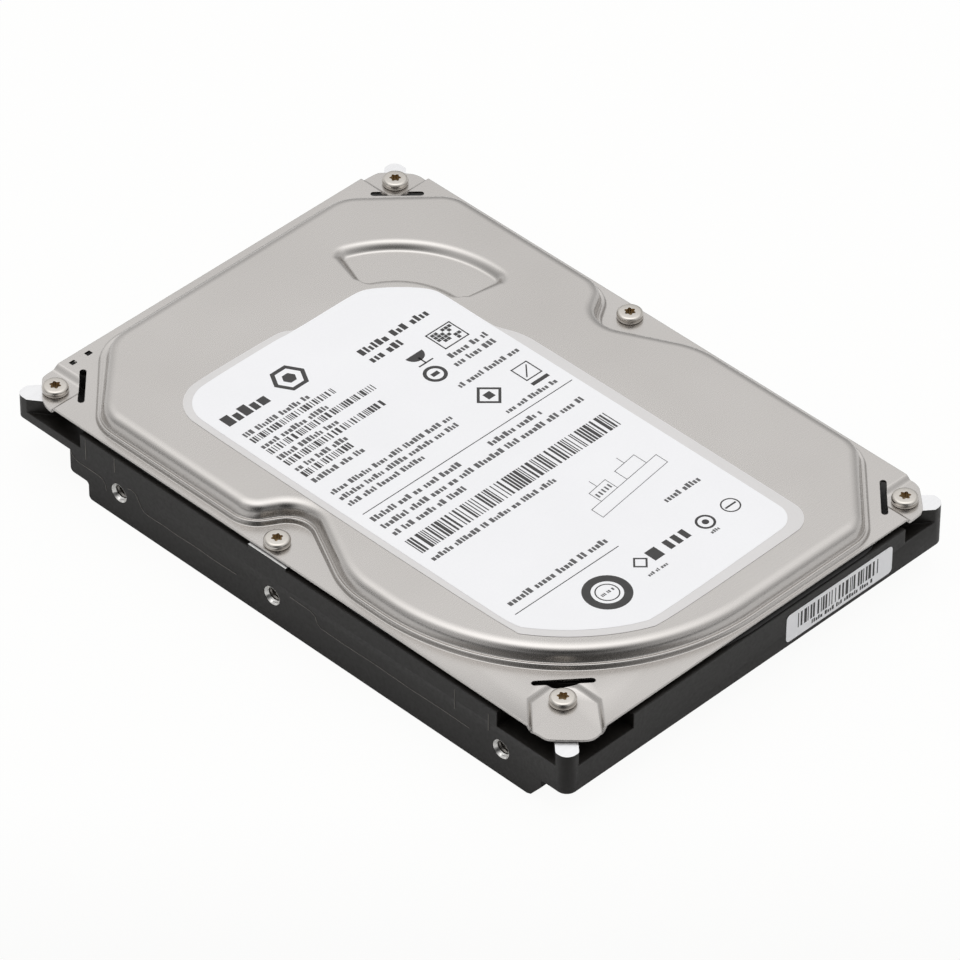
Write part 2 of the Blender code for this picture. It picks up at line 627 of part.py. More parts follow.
def pressed_sheet(name, outline, holes, rings, lines, mat):
    """Planar triangulation of the outline whose points are then raised and thickened.
    rings are (points, z) closed lines; lines are open bend lines on the flange."""
    points, edges, heights = [], [], []

    def constrain(line, z=None, closed=True):
        start = len(points)
        points.extend(Vector(point) for point in line)
        heights.extend([z] * len(line))
        edges.extend((start + i, start + i + 1) for i in range(len(line) - 1))
        if closed:
            edges.append((start + len(line) - 1, start))

    for line in [outline] + holes:
        constrain(line)
    for line, z in rings:
        constrain(line, z)
    for line in lines:
        constrain(line, closed=False)
    flat, _, faces, origins, _, _ = delaunay_2d_cdt(points, edges, [], 0, 1e-5)

    work = bmesh.new()
    verts = []
    for point, sources in zip(flat, origins):
        known = [heights[i] for i in sources if heights[i] is not None]
        z = known[0] if known else flange_z(point.x, point.y)
        verts.append(work.verts.new((point.x, point.y, z)))
    for face in faces:
        middle = sum((flat[i] for i in face), Vector((0, 0))) / len(face)
        if inside(middle, outline) and not any(inside(middle, hole) for hole in holes):
            work.faces.new([verts[i] for i in face])
    loose = [vert for vert in work.verts if not vert.link_faces]
    bmesh.ops.delete(work, geom=loose, context="VERTS")
    for face in work.faces:
        face.normal_update()
        if face.normal.z < 0:
            face.normal_flip()
    mesh = bpy.data.meshes.new(name)
    work.to_mesh(mesh)
    work.free()
    piece = add(name, mesh, mat)
    solidify = piece.modifiers.new("thickness", "SOLIDIFY")
    solidify.thickness = SHEET
    solidify.offset = -1.0
    solidify.use_even_offset = True
    bake(piece)


def recess(inset):
    trim = math.degrees(inset / RECESS_TRIM_R)
    return sector(RECESS_CENTRE, RECESS_INNER + inset, RECESS_OUTER - inset,
                  RECESS_START + trim, RECESS_END - trim, 8,
                  max(RECESS_MIN_FILLET, RECESS_FILLET - inset))


def build_cover():
    outline = tab_edge(1, 1) + tab_edge(-1, 1) + FRONT_LEFT_EDGE + tab_edge(1, -1)
    holes = [circle(centre, COVER_HOLE_R, 10) for centre in COVER_SCREWS.values()]
    holes += [pill(start, end, SLOT_R, 3) for start, end in SLOTS.values()]
    front, rear = NOTCH_Y
    for x in NOTCHES_X:
        left, right = x - NOTCH_HALF, x + NOTCH_HALF
        holes.append([(left, front), (right, front), (right, rear), (left, rear)])

    rings = [(offset_line(inset, setback), z) for inset, setback, z in RISE]
    rings += [(recess(inset), z) for inset, z in RECESS_WALL]
    bends = []
    for (side, end), (bend_x, bend_y, _, width_x, width_y) in TAB_BENDS.items():
        for x, y in ((bend_x, bend_y), (bend_x + width_x, bend_y + width_y)):
            bends.append([(side * x, end * CLEAR_Y), (side * x, end * y),
                          (side * CLEAR_X, end * y)])
    for polygon in (FRONT_LEFT_TAB, mitred(FRONT_LEFT_PLANES, FRONT_LEFT_BEND)):
        bends.append(polygon + polygon[:1])
    pressed_sheet("top_cover", outline, holes, rings, bends, STAINLESS)

    # formed bead between the wall top and the flange
    plate("cover_gasket", [offset_line(GASKET_OUT), offset_line(GASKET_IN)],
          WALL_TOP + GASKET_GAP, FLANGE_TOP - SHEET - GASKET_GAP, RUBBER)


def build_cover_screws():
    mesh = screw_mesh("screw_shape", shank_r=1.3, shank=4.6, head_r=2.6, head=1.35, steps=16,
                      socket=1.15)
    seat_gap, turn_step = 0.08, 17.0
    for i, (corner, (x, y)) in enumerate(COVER_SCREWS.items()):
        screw = add("cover_screw_" + corner, mesh, NICKEL)
        seat = FLANGE_TOP if corner.startswith("mid") else TAB_TOP
        screw.location = (x, y, seat + seat_gap)
        screw.rotation_euler.z = math.radians(turn_step * i)


# ================================================================ labels
# (x, y), clockwise from the left: along the rear, down the right side, round the front right
# corner, then back along an arc about the spindle
TOP_LABEL = (
    [(-37.4, 41.0), (-36.9, 43.3), (-35.4, 45.2), (-33.2, 46.2), (-31.0, 46.4), (-7.2, 46.4),
     (-6.2, 46.0), (-5.4, 44.9), (-4.2, 44.5), (10.5, 44.5), (13.0, 44.1), (15.0, 43.0),
     (18.2, 40.4), (21.2, 37.2), (22.8, 34.6), (23.2, 32.2), (23.1, 19.4), (23.6, 17.4),
     (24.8, 14.6), (25.4, 12.0), (25.6, 9.5)]
    + arc((19.9, -57.9), 5.7, 0, -90, 5)
    + [(-16.4, -63.6)]
    + arc(SPINDLE, 43.8, 247.6, 209.2, 9)[1:]
)
# (x, z, corner radius)
FRONT_LABEL = [(7.1, 6.4, 1.0), (36.0, 6.4, 1.0), (36.0, 12.9, 1.0), (7.1, 12.9, 1.0)]


def build_labels():
    plate("top_label", [TOP_LABEL[::-1]], FIELD_TOP + 0.03, HEIGHT, LABEL)
    profile_xz("front_barcode_label", filleted(FRONT_LABEL, 3),
               -HALF_LENGTH, -HALF_LENGTH + 0.06, LABEL)


# ================================================================ spindle motor and disc
# turned profiles, (radius, z)
MOTOR_BASE = [(4.1, 3.9), (16.0, 3.9), (16.0, 5.1), (13.0, 5.1), (13.0, 7.5), (5.0, 7.5),
              (5.0, 10.1), (4.1, 10.1)]
BEARING_SLEEVE = [(0.0, 4.0), (3.8, 4.0), (3.8, 10.5), (2.3, 10.5), (2.3, 4.6), (0.0, 4.6)]
SPINDLE_SHAFT = [(0.0, 11.4), (1.3, 11.4), (1.3, 14.3), (2.0, 14.3), (2.0, 5.2), (1.7, 4.9),
                 (0.0, 4.9)]
HUB = [(2.3, 14.3), (11.6, 14.3), (12.2, 13.9), (12.2, 11.65), (15.2, 11.65), (15.2, 9.9),
       (13.6, 9.9), (13.6, 8.0), (12.3, 8.0), (12.3, 11.0), (2.3, 11.0)]
CLAMP = [(1.5, 15.4), (4.4, 15.4), (6.0, 15.9), (10.5, 15.9), (13.6, 14.9), (15.0, 14.5),
         (15.0, 13.6), (13.2, 13.6), (12.6, 14.4), (10.0, 14.7), (1.5, 14.7)]
CLAMP_SCREW_SEAT = 15.5
# one stator tooth: radius, angle from the tooth's middle
TOOTH = [(6.6, -13), (8.6, -9.5), (9.0, -15), (10.2, -15), (10.4, 0), (10.2, 15), (9.0, 15),
         (8.6, 9.5), (6.6, 13)]
TOOTH_COUNT, STATOR_BORE_R, STATOR_Z = 9, 5.35, (8.0, 10.1)


def build_spindle():
    turned("spindle_motor_base", MOTOR_BASE, SPINDLE, 24, ALUMINIUM, closed=True)
    turned("spindle_bearing_sleeve", BEARING_SLEEVE, SPINDLE, 24, STEEL)
    turned("spindle_shaft", SPINDLE_SHAFT, SPINDLE, 24, STEEL)
    teeth = [polar(SPINDLE, radius, 360.0 / TOOTH_COUNT * i + angle)
             for i in range(TOOTH_COUNT) for radius, angle in TOOTH]
    plate("stator_core", [teeth, circle(SPINDLE, STATOR_BORE_R, 18)], *STATOR_Z, STEEL)
    turned("spindle_hub", HUB, SPINDLE, 28, ALUMINIUM, closed=True)
    ring("rotor_magnet", 10.8, 12.0, 7.9, 10.6, SPINDLE, 28, MAGNET)
    ring("platter", DISC_BORE_R, DISC_R, DISC_BOTTOM, DISC_TOP, SPINDLE, 60, DISC)
    turned("disc_clamp", CLAMP, SPINDLE, 28, ALUMINIUM, closed=True)
    screw = pan_screw("disc_clamp_screw", shank_r=1.0, shank=3.6, head_r=2.9, head=1.5,
                      steps=14, socket=0.9)
    screw.location = (*SPINDLE, CLAMP_SCREW_SEAT)


# ================================================================ voice coil motor
def beside_disc(sign, near, far):
    """Bottom and top of a layer above (+1) or below (-1) the disc's middle plane."""
    return sorted((DISC_MID + sign * near, DISC_MID + sign * far))


MAGNET_NEAR, MAGNET_FAR = 1.6, 2.8       # from the disc's middle plane
MAGNET_SPAN = (DISC_MID - MAGNET_FAR, DISC_MID + MAGNET_FAR)
LOWER_YOKE_TOP, UPPER_YOKE_Z = 9.5, (15.7, 17.4)
YOKE = sector(PIVOT, 12.0, 32.4, VCM_DIR - 43.0, VCM_DIR + 42.0, 14, 2.0)
YOKE_HOLE = circle(polar(PIVOT, 14.4, VCM_DIR), 1.1, 12)
MAGNET_SHAPE = sector(PIVOT, 16.5, 28.5, VCM_DIR - 33.0, VCM_DIR + 32.5, 14, 1.2)
SPACER_ANGLES, SPACER_ORBIT, SPACER_R = (8.0, 60.0), 30.9, 1.2


def build_voice_coil_motor():
    plate("vcm_lower_yoke", [YOKE], PART_Z, LOWER_YOKE_TOP, STEEL)
    plate("vcm_upper_yoke", [YOKE, YOKE_HOLE], *UPPER_YOKE_Z, STEEL)
    for level, sign in (("lower", -1), ("upper", 1)):
        plate("vcm_%s_magnet" % level, [MAGNET_SHAPE],
              *beside_disc(sign, MAGNET_NEAR, MAGNET_FAR), MAGNET)
    for i, angle in enumerate(SPACER_ANGLES):
        cylinder("vcm_spacer_%d" % (i + 1), polar(PIVOT, SPACER_ORBIT, angle), SPACER_R,
                 *MAGNET_SPAN, 12, STEEL)


# ================================================================ pivot, arm, coil, heads
PIVOT_SHAFT = [(0.0, 16.9), (1.6, 16.9), (2.0, 16.5), (2.0, 8.5), (3.4, 8.5), (3.4, PART_Z),
               (0.0, PART_Z)]    # (radius, z)
BEARING_INNER, BEARING_OUTER, BEARING_HEIGHT = 2.3, 4.2, 2.3
BEARING_BOTTOMS = {"lower": 8.9, "upper": 13.9}
ARM_HUB_R, ARM_HUB_Z, ARM_BORE_R = 7.6, (8.5, 16.6), 6.05

# Shapes symmetric about a line from the pivot: distance from the pivot, half width.
ROOT_HALF, TIP_HALF, FINGER_REACH = 6.6, 3.2, 32.0
FINGER = [(0, ROOT_HALF), (12, ROOT_HALF * 0.86), (FINGER_REACH - 2, TIP_HALF),
          (FINGER_REACH, TIP_HALF * 0.6)]
FINGER_WINDOW = [(12, 2.6), (24, 1.4)]
COIL_ROOT = [(3, 6.2), (11.5, 3.9)]
SUSPENSION = [(25.5, 2.6), (32.5, 3.0), (51.0, 0.7), (53.6, 0.5)]
SLIDER = [(ARM_TO_HEAD - 0.62, 0.5), (ARM_TO_HEAD + 0.62, 0.5)]
PREAMP = [(7.9, 1.7), (8.8, 1.7)]
PREAMP_DIR = 121.0
SWAGE = polar(PIVOT, 29.0, ARM_REST)     # round hole through fingers and suspensions


def symmetric(angle, stations):
    """Outline about the line that leaves the pivot at this angle."""
    sine, cosine = math.sin(math.radians(angle)), math.cos(math.radians(angle))

    def place(distance, left):
        x, y = polar(PIVOT, distance, angle)
        return (x - left * sine, y + left * cosine)

    return ([place(distance, -half) for distance, half in stations]
            + [place(distance, half) for distance, half in reversed(stations)])


def coil_sector(inner, outer, half_angle, steps, fillet, fillet_steps=3):
    return sector(PIVOT, inner, outer, COIL_REST - half_angle, COIL_REST + half_angle,
                  steps, fillet, fillet_steps)


def build_pivot():
    turned("pivot_shaft", PIVOT_SHAFT, PIVOT, 24, STEEL)
    for level, bottom in BEARING_BOTTOMS.items():
        ring("pivot_bearing_" + level, BEARING_INNER, BEARING_OUTER, bottom,
             bottom + BEARING_HEIGHT, PIVOT, 24, STEEL)
    ring("pivot_sleeve", 4.5, 5.7, 8.7, 16.4, PIVOT, 24, STEEL)


def build_arm():
    arm = cylinder("actuator_arm", PIVOT, ARM_HUB_R, *ARM_HUB_Z, 28, ALUMINIUM)
    finger = [symmetric(ARM_REST, FINGER), symmetric(ARM_REST, FINGER_WINDOW),
              circle(SWAGE, 1.2, 12)]
    for sign in (-1, 1):
        arm = join(arm, plate("finger", finger, *beside_disc(sign, 1.9, 3.1)))
    root = symmetric(COIL_REST, COIL_ROOT)
    arm = join(arm, plate("coil_root", [root], DISC_MID - 1.4, DISC_MID + 1.4))
    cut(arm, cylinder("pivot_bore", PIVOT, ARM_BORE_R, 0.0, CLEAR_Z, 24))


def build_coil():
    plate("voice_coil", [coil_sector(15.4, 27.6, 15.0, 8, 2.2),
                         coil_sector(18.8, 24.2, 6.6, 4, 1.0, fillet_steps=2)],
          DISC_MID - 1.1, DISC_MID + 1.1, COPPER)
    plate("coil_frame", [coil_sector(11.9, 29.2, COIL_HALF, 8, 1.4),
                         coil_sector(15.1, 27.9, 16.0, 8, 2.2)],
          DISC_MID - 1.2, DISC_MID + 1.2, PLASTIC)


def build_heads():
    for level, sign in (("upper", 1), ("lower", -1)):
        plate(level + "_suspension", [symmetric(ARM_REST, SUSPENSION), circle(SWAGE, 1.0, 12)],
              *beside_disc(sign, 1.4, 1.6), STEEL)
        plate(level + "_head_slider", [symmetric(ARM_REST, SLIDER)],
              *beside_disc(sign, 0.82, 1.12), CHIP)
    plate("preamp_chip", [symmetric(PREAMP_DIR, PREAMP)], DISC_MID - 1.3, DISC_MID + 1.3, CHIP)


# ================================================================ latch, stops, flex, filters
# (x, y) from the latch axis
LATCH_ARM = [(12.0, 0.4), (14.0, 0.1), (14.2, -1.3), (13.2, -1.8), (2.0, -1.2), (-2.0, -1.6),
             (-6.8, -3.4), (-9.0, -2.2), (-9.2, 0.6), (-7.0, 2.2), (-2.0, 1.6), (2.0, 1.2)]
LATCH_PIN = [(0.0, 15.0), (1.6, 15.0), (1.6, 14.1), (0.9, 14.1), (0.9, 8.5), (2.0, 8.5),
             (2.0, PART_Z), (0.0, PART_Z)]  # (radius, z)
STOP_R, STOP_ORBIT, STOP_GAP = 1.6, 25.0, 0.8  # gap in degrees

# (x, y, corner radius)
BRACKET = [(-21.0, 45.5, 1.5), (-8.0, 45.5, 1.5), (-8.0, 57.0, 1.5), (-21.0, 57.0, 1.5)]
BREATHER = [(-41.0, 43.0, 2.0), (-27.0, 43.0, 2.0), (-27.0, 57.0, 2.0), (-38.0, 57.0, 2.0),
            (-41.0, 54.0, 1.0)]
BRACKET_TOP = 12.2
FLEX_PATH = [(-7.5, 52.0), (-4.6, 50.0), (-4.9, 45.0), (-7.6, 40.6), (-6.0, 37.8),
             (-1.6, 37.6)]       # (x, y)
FLEX_THICKNESS = 0.35
# recirculation filter, in the front right corner, square to the line from the spindle
RECIRC_ORBIT, RECIRC_HALF_LENGTH, RECIRC_HALF_WIDTH = 52.6, 7.0, 1.7


def build_latch():
    outline = [(LATCH[0] + x, LATCH[1] + y) for x, y in LATCH_ARM]
    latch = plate("actuator_latch", [outline], 11.5, 13.6, PLASTIC)
    latch = join(latch, cylinder("latch_eye", LATCH, 2.3, 11.3, 13.8, 14))
    cut(latch, cylinder("latch_bore", LATCH, 1.25, 5.0, 20.0, 12))
    turned("latch_pin", LATCH_PIN, LATCH, 12, STEEL)


def build_crash_stops():
    clearance = COIL_HALF + math.degrees(STOP_R / STOP_ORBIT) + STOP_GAP
    for name, angle in (("inner", COIL_REST + clearance),
                        ("outer", COIL_REST - SWING - clearance)):
        cylinder("crash_stop_" + name, polar(PIVOT, STOP_ORBIT, angle), STOP_R,
                 *MAGNET_SPAN, 12, RUBBER)


def ribbon(points, thickness):
    """Outline of a thin strip along a smooth (Catmull-Rom) path through the points."""
    path = []
    last = len(points) - 1
    for i in range(last):
        before, start = Vector(points[max(i - 1, 0)]), Vector(points[i])
        end, after = Vector(points[i + 1]), Vector(points[min(i + 2, last)])
        for k in range(4):
            part = k / 4
            path.append(0.5 * ((2 * start) + (end - before) * part
                               + (2 * before - 5 * start + 4 * end - after) * part * part
                               + (3 * start - before - 3 * end + after) * part ** 3))
    path.append(Vector(points[-1]))
    left, right = [], []
    for i, point in enumerate(path):
        heading = (path[min(i + 1, len(path) - 1)] - path[max(i - 1, 0)]).normalized()
        offset = Vector((-heading.y, heading.x)) * thickness / 2
        left.append(tuple(point + offset))
        right.append(tuple(point - offset))
    return right + left[::-1]


def build_flex():
    plate("flex_bracket", [filleted(BRACKET, 3), circle(FLEX_SCREW, 1.6, 14)],
          PART_Z, BRACKET_TOP, PLASTIC)
    screw = pan_screw("flex_bracket_screw", shank_r=0.9, shank=5.4, head_r=2.1, head=1.2,
                      steps=12, socket=0.7)
    screw.location = (*FLEX_SCREW, BRACKET_TOP + 0.1)
    plate("flex_cable", [ribbon(FLEX_PATH, FLEX_THICKNESS)], 11.2, 14.1, AMBER)


def build_filters():
    diagonal = math.sqrt(0.5)
    outline = []
    for along, out in ((-1, 1), (1, 1), (1, -1), (-1, -1)):
        along *= RECIRC_HALF_LENGTH
        out = RECIRC_ORBIT + out * RECIRC_HALF_WIDTH
        outline.append((SPINDLE[0] + (along + out) * diagonal,
                        SPINDLE[1] + (along - out) * diagonal))
    plate("recirculation_filter", [outline], PART_Z, 14.2, FILTER)
    plate("breather_filter", [filleted(BREATHER, 3)], PART_Z, 12.6, FILTER)


# ================================================================ circuit board side
BOARD_X, BOARD_FRONT, BOARD_REAR = 43.2, -12.0, 66.0
BOARD_BOTTOM, BOARD_TOP = 1.4, 2.4
MOTOR_CLEAR_R = 18.2             # round cut-out in the board's front edge
INSULATOR = [(42.4, 64.2), (42.4, -10.4), (17.0, -10.4), (12.0, -2.6), (-12.0, -2.6),
             (-17.0, -10.4), (-42.4, -10.4), (-42.4, 64.2)]  # (x, y)
# name, (x, y) at both corners, top
CHIPS = [("controller_chip", (-17.0, 22.0), (-3.0, 36.0), 3.9),
         ("motor_driver_chip", (8.0, 6.0), (16.0, 14.0), 3.7),
         ("cache_memory_chip", (8.0, 28.0), (18.5, 36.0), 3.8)]
CHIP_BOTTOM = BOARD_TOP + 0.3

# contact tongues of the connector (x from, x to), and the key at the outer end of each
TONGUES = ((-1.6, 8.4), (14.6, 36.4))
TONGUE_Y, TONGUE_BOTTOM, TONGUE_TOP = (67.6, 72.8), 2.9, 4.1
KEY_WIDTH, KEY_TOP = 1.0, 5.2

PIN_FIRST_X, PIN_PITCH, PIN_COLUMNS = -16.4, 2.0, 4
PIN_ROWS_Z, PIN_Y, PIN_HALF = (2.6, 4.6), (68.9, 73.0), 0.25


def build_board():
    half = math.degrees(math.acos((BOARD_FRONT - SPINDLE[1]) / MOTOR_CLEAR_R))
    outline = ([(-BOARD_X, BOARD_REAR), (-BOARD_X, BOARD_FRONT)]
               + arc(SPINDLE, MOTOR_CLEAR_R, 90 + half, 90 - half, 12)
               + [(BOARD_X, BOARD_FRONT), (BOARD_X, BOARD_REAR)])
    holes = [circle(centre, 1.7, 16) for centre in PCB_SCREWS]
    plate("pcb_board", [outline[::-1]] + holes, BOARD_BOTTOM, BOARD_TOP, BOARD)
    holes = [circle(centre, 3.2, 16) for centre in PCB_SCREWS]
    plate("pcb_insulator", [INSULATOR] + holes, 4.6, 5.1, FOAM)
    for name, low, high, top in CHIPS:
        box(name, (*low, CHIP_BOTTOM), (*high, top), CHIP)


def build_connectors():
    sata = box("sata_connector", (-4.0, 66.7, 1.0), (38.8, 73.2, 6.9), PLASTIC)
    sata = cut(sata, box("mouth", (-3.0, 68.2, 1.9), (37.8, CLEAR_Y, 6.0)))
    left, right = TONGUES[0][0], TONGUES[1][1]
    bars = [(*span, TONGUE_TOP) for span in TONGUES]
    bars += [(left, left + KEY_WIDTH, KEY_TOP), (right - KEY_WIDTH, right, KEY_TOP)]
    for x_low, x_high, top in bars:
        sata = join(sata, box("bar", (x_low, TONGUE_Y[0], TONGUE_BOTTOM),
                              (x_high, TONGUE_Y[1], top)))

    jumper = box("jumper_pin_block", (-18.4, 66.8, 1.2), (-8.4, 69.3, 6.2), PLASTIC)
    for i in range(PIN_COLUMNS):
        x = PIN_FIRST_X + PIN_PITCH * i
        for z in PIN_ROWS_Z:
            jumper = join(jumper, box("pin", (x - PIN_HALF, PIN_Y[0], z - PIN_HALF),
                                      (x + PIN_HALF, PIN_Y[1], z + PIN_HALF)))


def build_pcb_screws():
    """Screws driven upward from under the board."""
    mesh = screw_mesh("pcb_screw_shape", shank_r=1.0, shank=3.4, head_r=2.6, head=0.9,
                      steps=12, socket=0.75)
    for i, centre in enumerate(PCB_SCREWS):
        screw = add("pcb_screw_%d" % (i + 1), mesh, NICKEL)
        screw.location = (*centre, BOARD_BOTTOM - 0.1)
        screw.rotation_euler.x = math.pi


# ================================================================ to metres, shading, joint axes
METRE = 0.001                    # metres in a millimetre
SHARP_ANGLE = 35.0


def finish_meshes():
    for mesh in {piece.data for piece in PARTS.objects}:
        mesh.transform(Matrix.Scale(METRE, 4))
        mesh.shade_smooth()
        mesh.set_sharp_from_angle(angle=math.radians(SHARP_ANGLE))
    for piece in PARTS.objects:
        piece.location = piece.location * METRE


def joint_axis(name, centre, z, members):
    """Empty on a joint's axis that carries the moving pieces."""
    axis = bpy.data.objects.new(name, None)
    axis.empty_display_size = 0.01
    PARTS.objects.link(axis)
    axis.location = (centre[0] * METRE, centre[1] * METRE, z * METRE)
    bpy.context.view_layer.update()
    for member in members:
        piece = bpy.data.objects[member]
        piece.parent = axis
        piece.matrix_parent_inverse = axis.matrix_world.inverted()


build_base()
build_cover()
build_cover_screws()
build_labels()
build_spindle()
build_voice_coil_motor()
build_pivot()
build_arm()
build_coil()
build_heads()
build_latch()
build_crash_stops()
build_flex()
build_filters()
build_board()
build_connectors()
build_pcb_screws()
finish_meshes()

joint_axis("spindle_axis", SPINDLE, DISC_MID,
           ["spindle_shaft", "spindle_hub", "rotor_magnet", "platter", "disc_clamp",
            "disc_clamp_screw"])
joint_axis("pivot_axis", PIVOT, DISC_MID,
           ["pivot_bearing_lower", "pivot_bearing_upper", "pivot_sleeve", "actuator_arm",
            "voice_coil", "coil_frame", "upper_suspension", "lower_suspension",
            "upper_head_slider", "lower_head_slider", "preamp_chip"])
joint_axis("latch_axis", LATCH, DISC_MID, ["actuator_latch"])
joint_axis("cover_lift_axis", (0.0, 0.0), FLANGE_TOP,
           ["top_cover", "cover_gasket", "top_label"]
           + ["cover_screw_" + corner for corner in COVER_SCREWS])
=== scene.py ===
# A 3.5 inch hard disk drive lying flat on a pale floor, board side down.
# x runs across (left is -x), y along (front is -y, the connectors are at +y), z is up.
# Pieces are drawn in millimetres and scaled to metres when they are finished.
import json
import math
import random
from functools import cached_property

import bmesh
import bpy
from mathutils import Matrix, Vector
from mathutils.geometry import delaunay_2d_cdt


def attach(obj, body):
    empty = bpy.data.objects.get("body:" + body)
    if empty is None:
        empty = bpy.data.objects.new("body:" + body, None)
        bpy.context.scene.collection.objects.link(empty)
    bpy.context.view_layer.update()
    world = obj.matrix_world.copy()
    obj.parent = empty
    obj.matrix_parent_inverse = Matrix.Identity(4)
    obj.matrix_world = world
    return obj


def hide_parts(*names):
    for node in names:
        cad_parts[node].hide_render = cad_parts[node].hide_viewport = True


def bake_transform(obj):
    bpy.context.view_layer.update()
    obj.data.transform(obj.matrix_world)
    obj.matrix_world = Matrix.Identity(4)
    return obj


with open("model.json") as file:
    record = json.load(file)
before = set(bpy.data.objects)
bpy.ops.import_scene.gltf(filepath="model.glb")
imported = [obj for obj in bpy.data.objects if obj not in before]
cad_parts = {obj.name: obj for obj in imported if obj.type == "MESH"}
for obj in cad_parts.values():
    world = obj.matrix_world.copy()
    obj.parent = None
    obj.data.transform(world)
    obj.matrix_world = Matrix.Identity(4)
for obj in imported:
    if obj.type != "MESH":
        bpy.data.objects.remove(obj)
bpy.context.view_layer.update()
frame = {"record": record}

random.seed(11)
MM = 0.001
RECORD = frame["record"]
BODY_OF = {n: body for body, nodes in RECORD["behaviour"]["bodies"].items() for n in nodes}
SCENE = bpy.context.scene

# ---------------------------------------------------------------- driving sizes (mm)
ORIGIN = (0.0, 0.0)
SIDES = ((-1, "left"), (1, "right"))
LENGTH, WIDTH = 146.99, 101.6
HALF_X, HALF_Y = WIDTH / 2, LENGTH / 2
# casting
FRONT_Y = -73.40
FRONT_R, REAR_R = 2.2, 1.8
FLOOR_BOTTOM, FLOOR_TOP = 5.4, 7.6
WALL_TOP, POST_TOP, POCKET_FLOOR, PAD_TOP = 14.6, 14.4, 11.3, 15.3
REAR_FLOOR_TOP, REAR_STEP_Y, CONNECTOR_UNDER, CORNER_UNDER = 9.0, 65.2, 7.3, 9.2
RAIL_INNER_X = 44.2
# mounting holes
HOLE_R = 2.08
SIDE_HOLES_Y = (HALF_Y - 28.5, HALF_Y - 28.5 - 41.61, HALF_Y - 28.5 - 101.6)
SIDE_HOLE_Z = 6.35
BOTTOM_HOLES_Y = (HALF_Y - 41.28, HALF_Y - 41.28 - 44.45)
BOTTOM_HOLE_X = 95.25 / 2
# cover pressing
SHEET, FLANGE_TOP, TAB_TOP, FIELD_TOP = 0.5, 16.0, 15.05, 19.85
COVER_X, COVER_Y = 50.15, 72.7
RECESS_C, RECESS_R0, RECESS_R1 = (9.6, 31.5), 14.4, 26.75
RECESS_A0, RECESS_A1 = -10.0, 73.0
# mechanism
SPINDLE, PIVOT, LATCH = (0.0, -23.0), (8.0, 32.6), (3.0, 60.5)
DISC_R, DISC_BORE_R, DISC_Z0, DISC_Z1 = 47.5, 12.5, 11.965, 13.235
ARM_TO_HEAD, HEAD_R_INNER, HEAD_R_OUTER = 51.5, 19.8, 45.8
VCM_DIR, COIL_HALF = 34.0, 18.5
# screw centres
COVER_SCREWS = {
    "rear_left": (-45.55, 67.95), "rear_right": (45.3, 67.8),
    "mid_left": (-47.3, 5.4), "mid_right": (47.1, 5.4),
    "front_left": (-40.5, -62.2), "front_right": (45.05, -68.15),
}
PCB_SCREWS = ((-38.0, -6.0), (38.0, -6.0), (-38.0, 60.0), (38.0, 60.0))
FLEX_SCREW = (-17.0, 54.0)

# Arm directions in degrees: the heads rest over the inner disc radius.
SPINDLE_TO_PIVOT = math.dist(SPINDLE, PIVOT)
TO_SPINDLE = math.degrees(math.atan2(SPINDLE[1] - PIVOT[1], SPINDLE[0] - PIVOT[0])) % 360.0


def bearing_angle(head_radius):
    """Angle at the pivot between the spindle and a head at this disc radius."""
    squares = SPINDLE_TO_PIVOT ** 2 + ARM_TO_HEAD ** 2 - head_radius ** 2
    return math.degrees(math.acos(squares / (2 * SPINDLE_TO_PIVOT * ARM_TO_HEAD)))


HEAD_REST = TO_SPINDLE - bearing_angle(HEAD_R_INNER)
SWING = HEAD_REST - (TO_SPINDLE - bearing_angle(HEAD_R_OUTER))
COIL_REST = VCM_DIR + SWING / 2


# ---------------------------------------------------------------- flat outlines
def polar(centre, radius, degrees):
    angle = math.radians(degrees)
    return (centre[0] + radius * math.cos(angle), centre[1] + radius * math.sin(angle))


def arc(centre, radius, start, end, steps):
    return [polar(centre, radius, start + (end - start) * i / steps) for i in range(steps + 1)]


def circle(centre, radius, sides=32):
    return [polar(centre, radius, 360.0 * i / sides) for i in range(sides)]


def lift(points, z):
    return [(x, y, z) for x, y in points]


def closed_pairs(points):
    return zip(points, points[1:] + points[:1])


def smooth(value):
    """Ease from 0 to 1, held outside that range."""
    value = max(0.0, min(1.0, value))
    return value * value * (3 - 2 * value)


def fillet_spokes(corner, before, after, radius, steps):
    """Centre of a corner's fillet, and the vectors from it to the arc's points."""
    back = (before - corner).normalized()
    ahead = (after - corner).normalized()
    half = math.acos(max(-1.0, min(1.0, back.dot(ahead)))) / 2
    tangent = radius / math.tan(half)
    centre = corner + (back + ahead).normalized() * (radius / math.sin(half))
    first = corner + back * tangent - centre
    turn = first.angle_signed(corner + ahead * tangent - centre)
    spokes = []
    for k in range(steps + 1):
        spoke = first.copy()
        spoke.rotate(Matrix.Rotation(-turn * k / steps, 2))
        spokes.append(spoke)
    return centre, spokes


def filleted(corners, steps):
    """Closed outline from (x, y, radius) corners."""
    points = []
    for i, (x, y, radius) in enumerate(corners):
        if radius <= 0:
            points.append((x, y))
            continue
        before = Vector(corners[i - 1][:2])
        after = Vector(corners[(i + 1) % len(corners)][:2])
        centre, spokes = fillet_spokes(Vector((x, y)), before, after, radius, steps)
        points += [tuple(centre + spoke) for spoke in spokes]
    return points


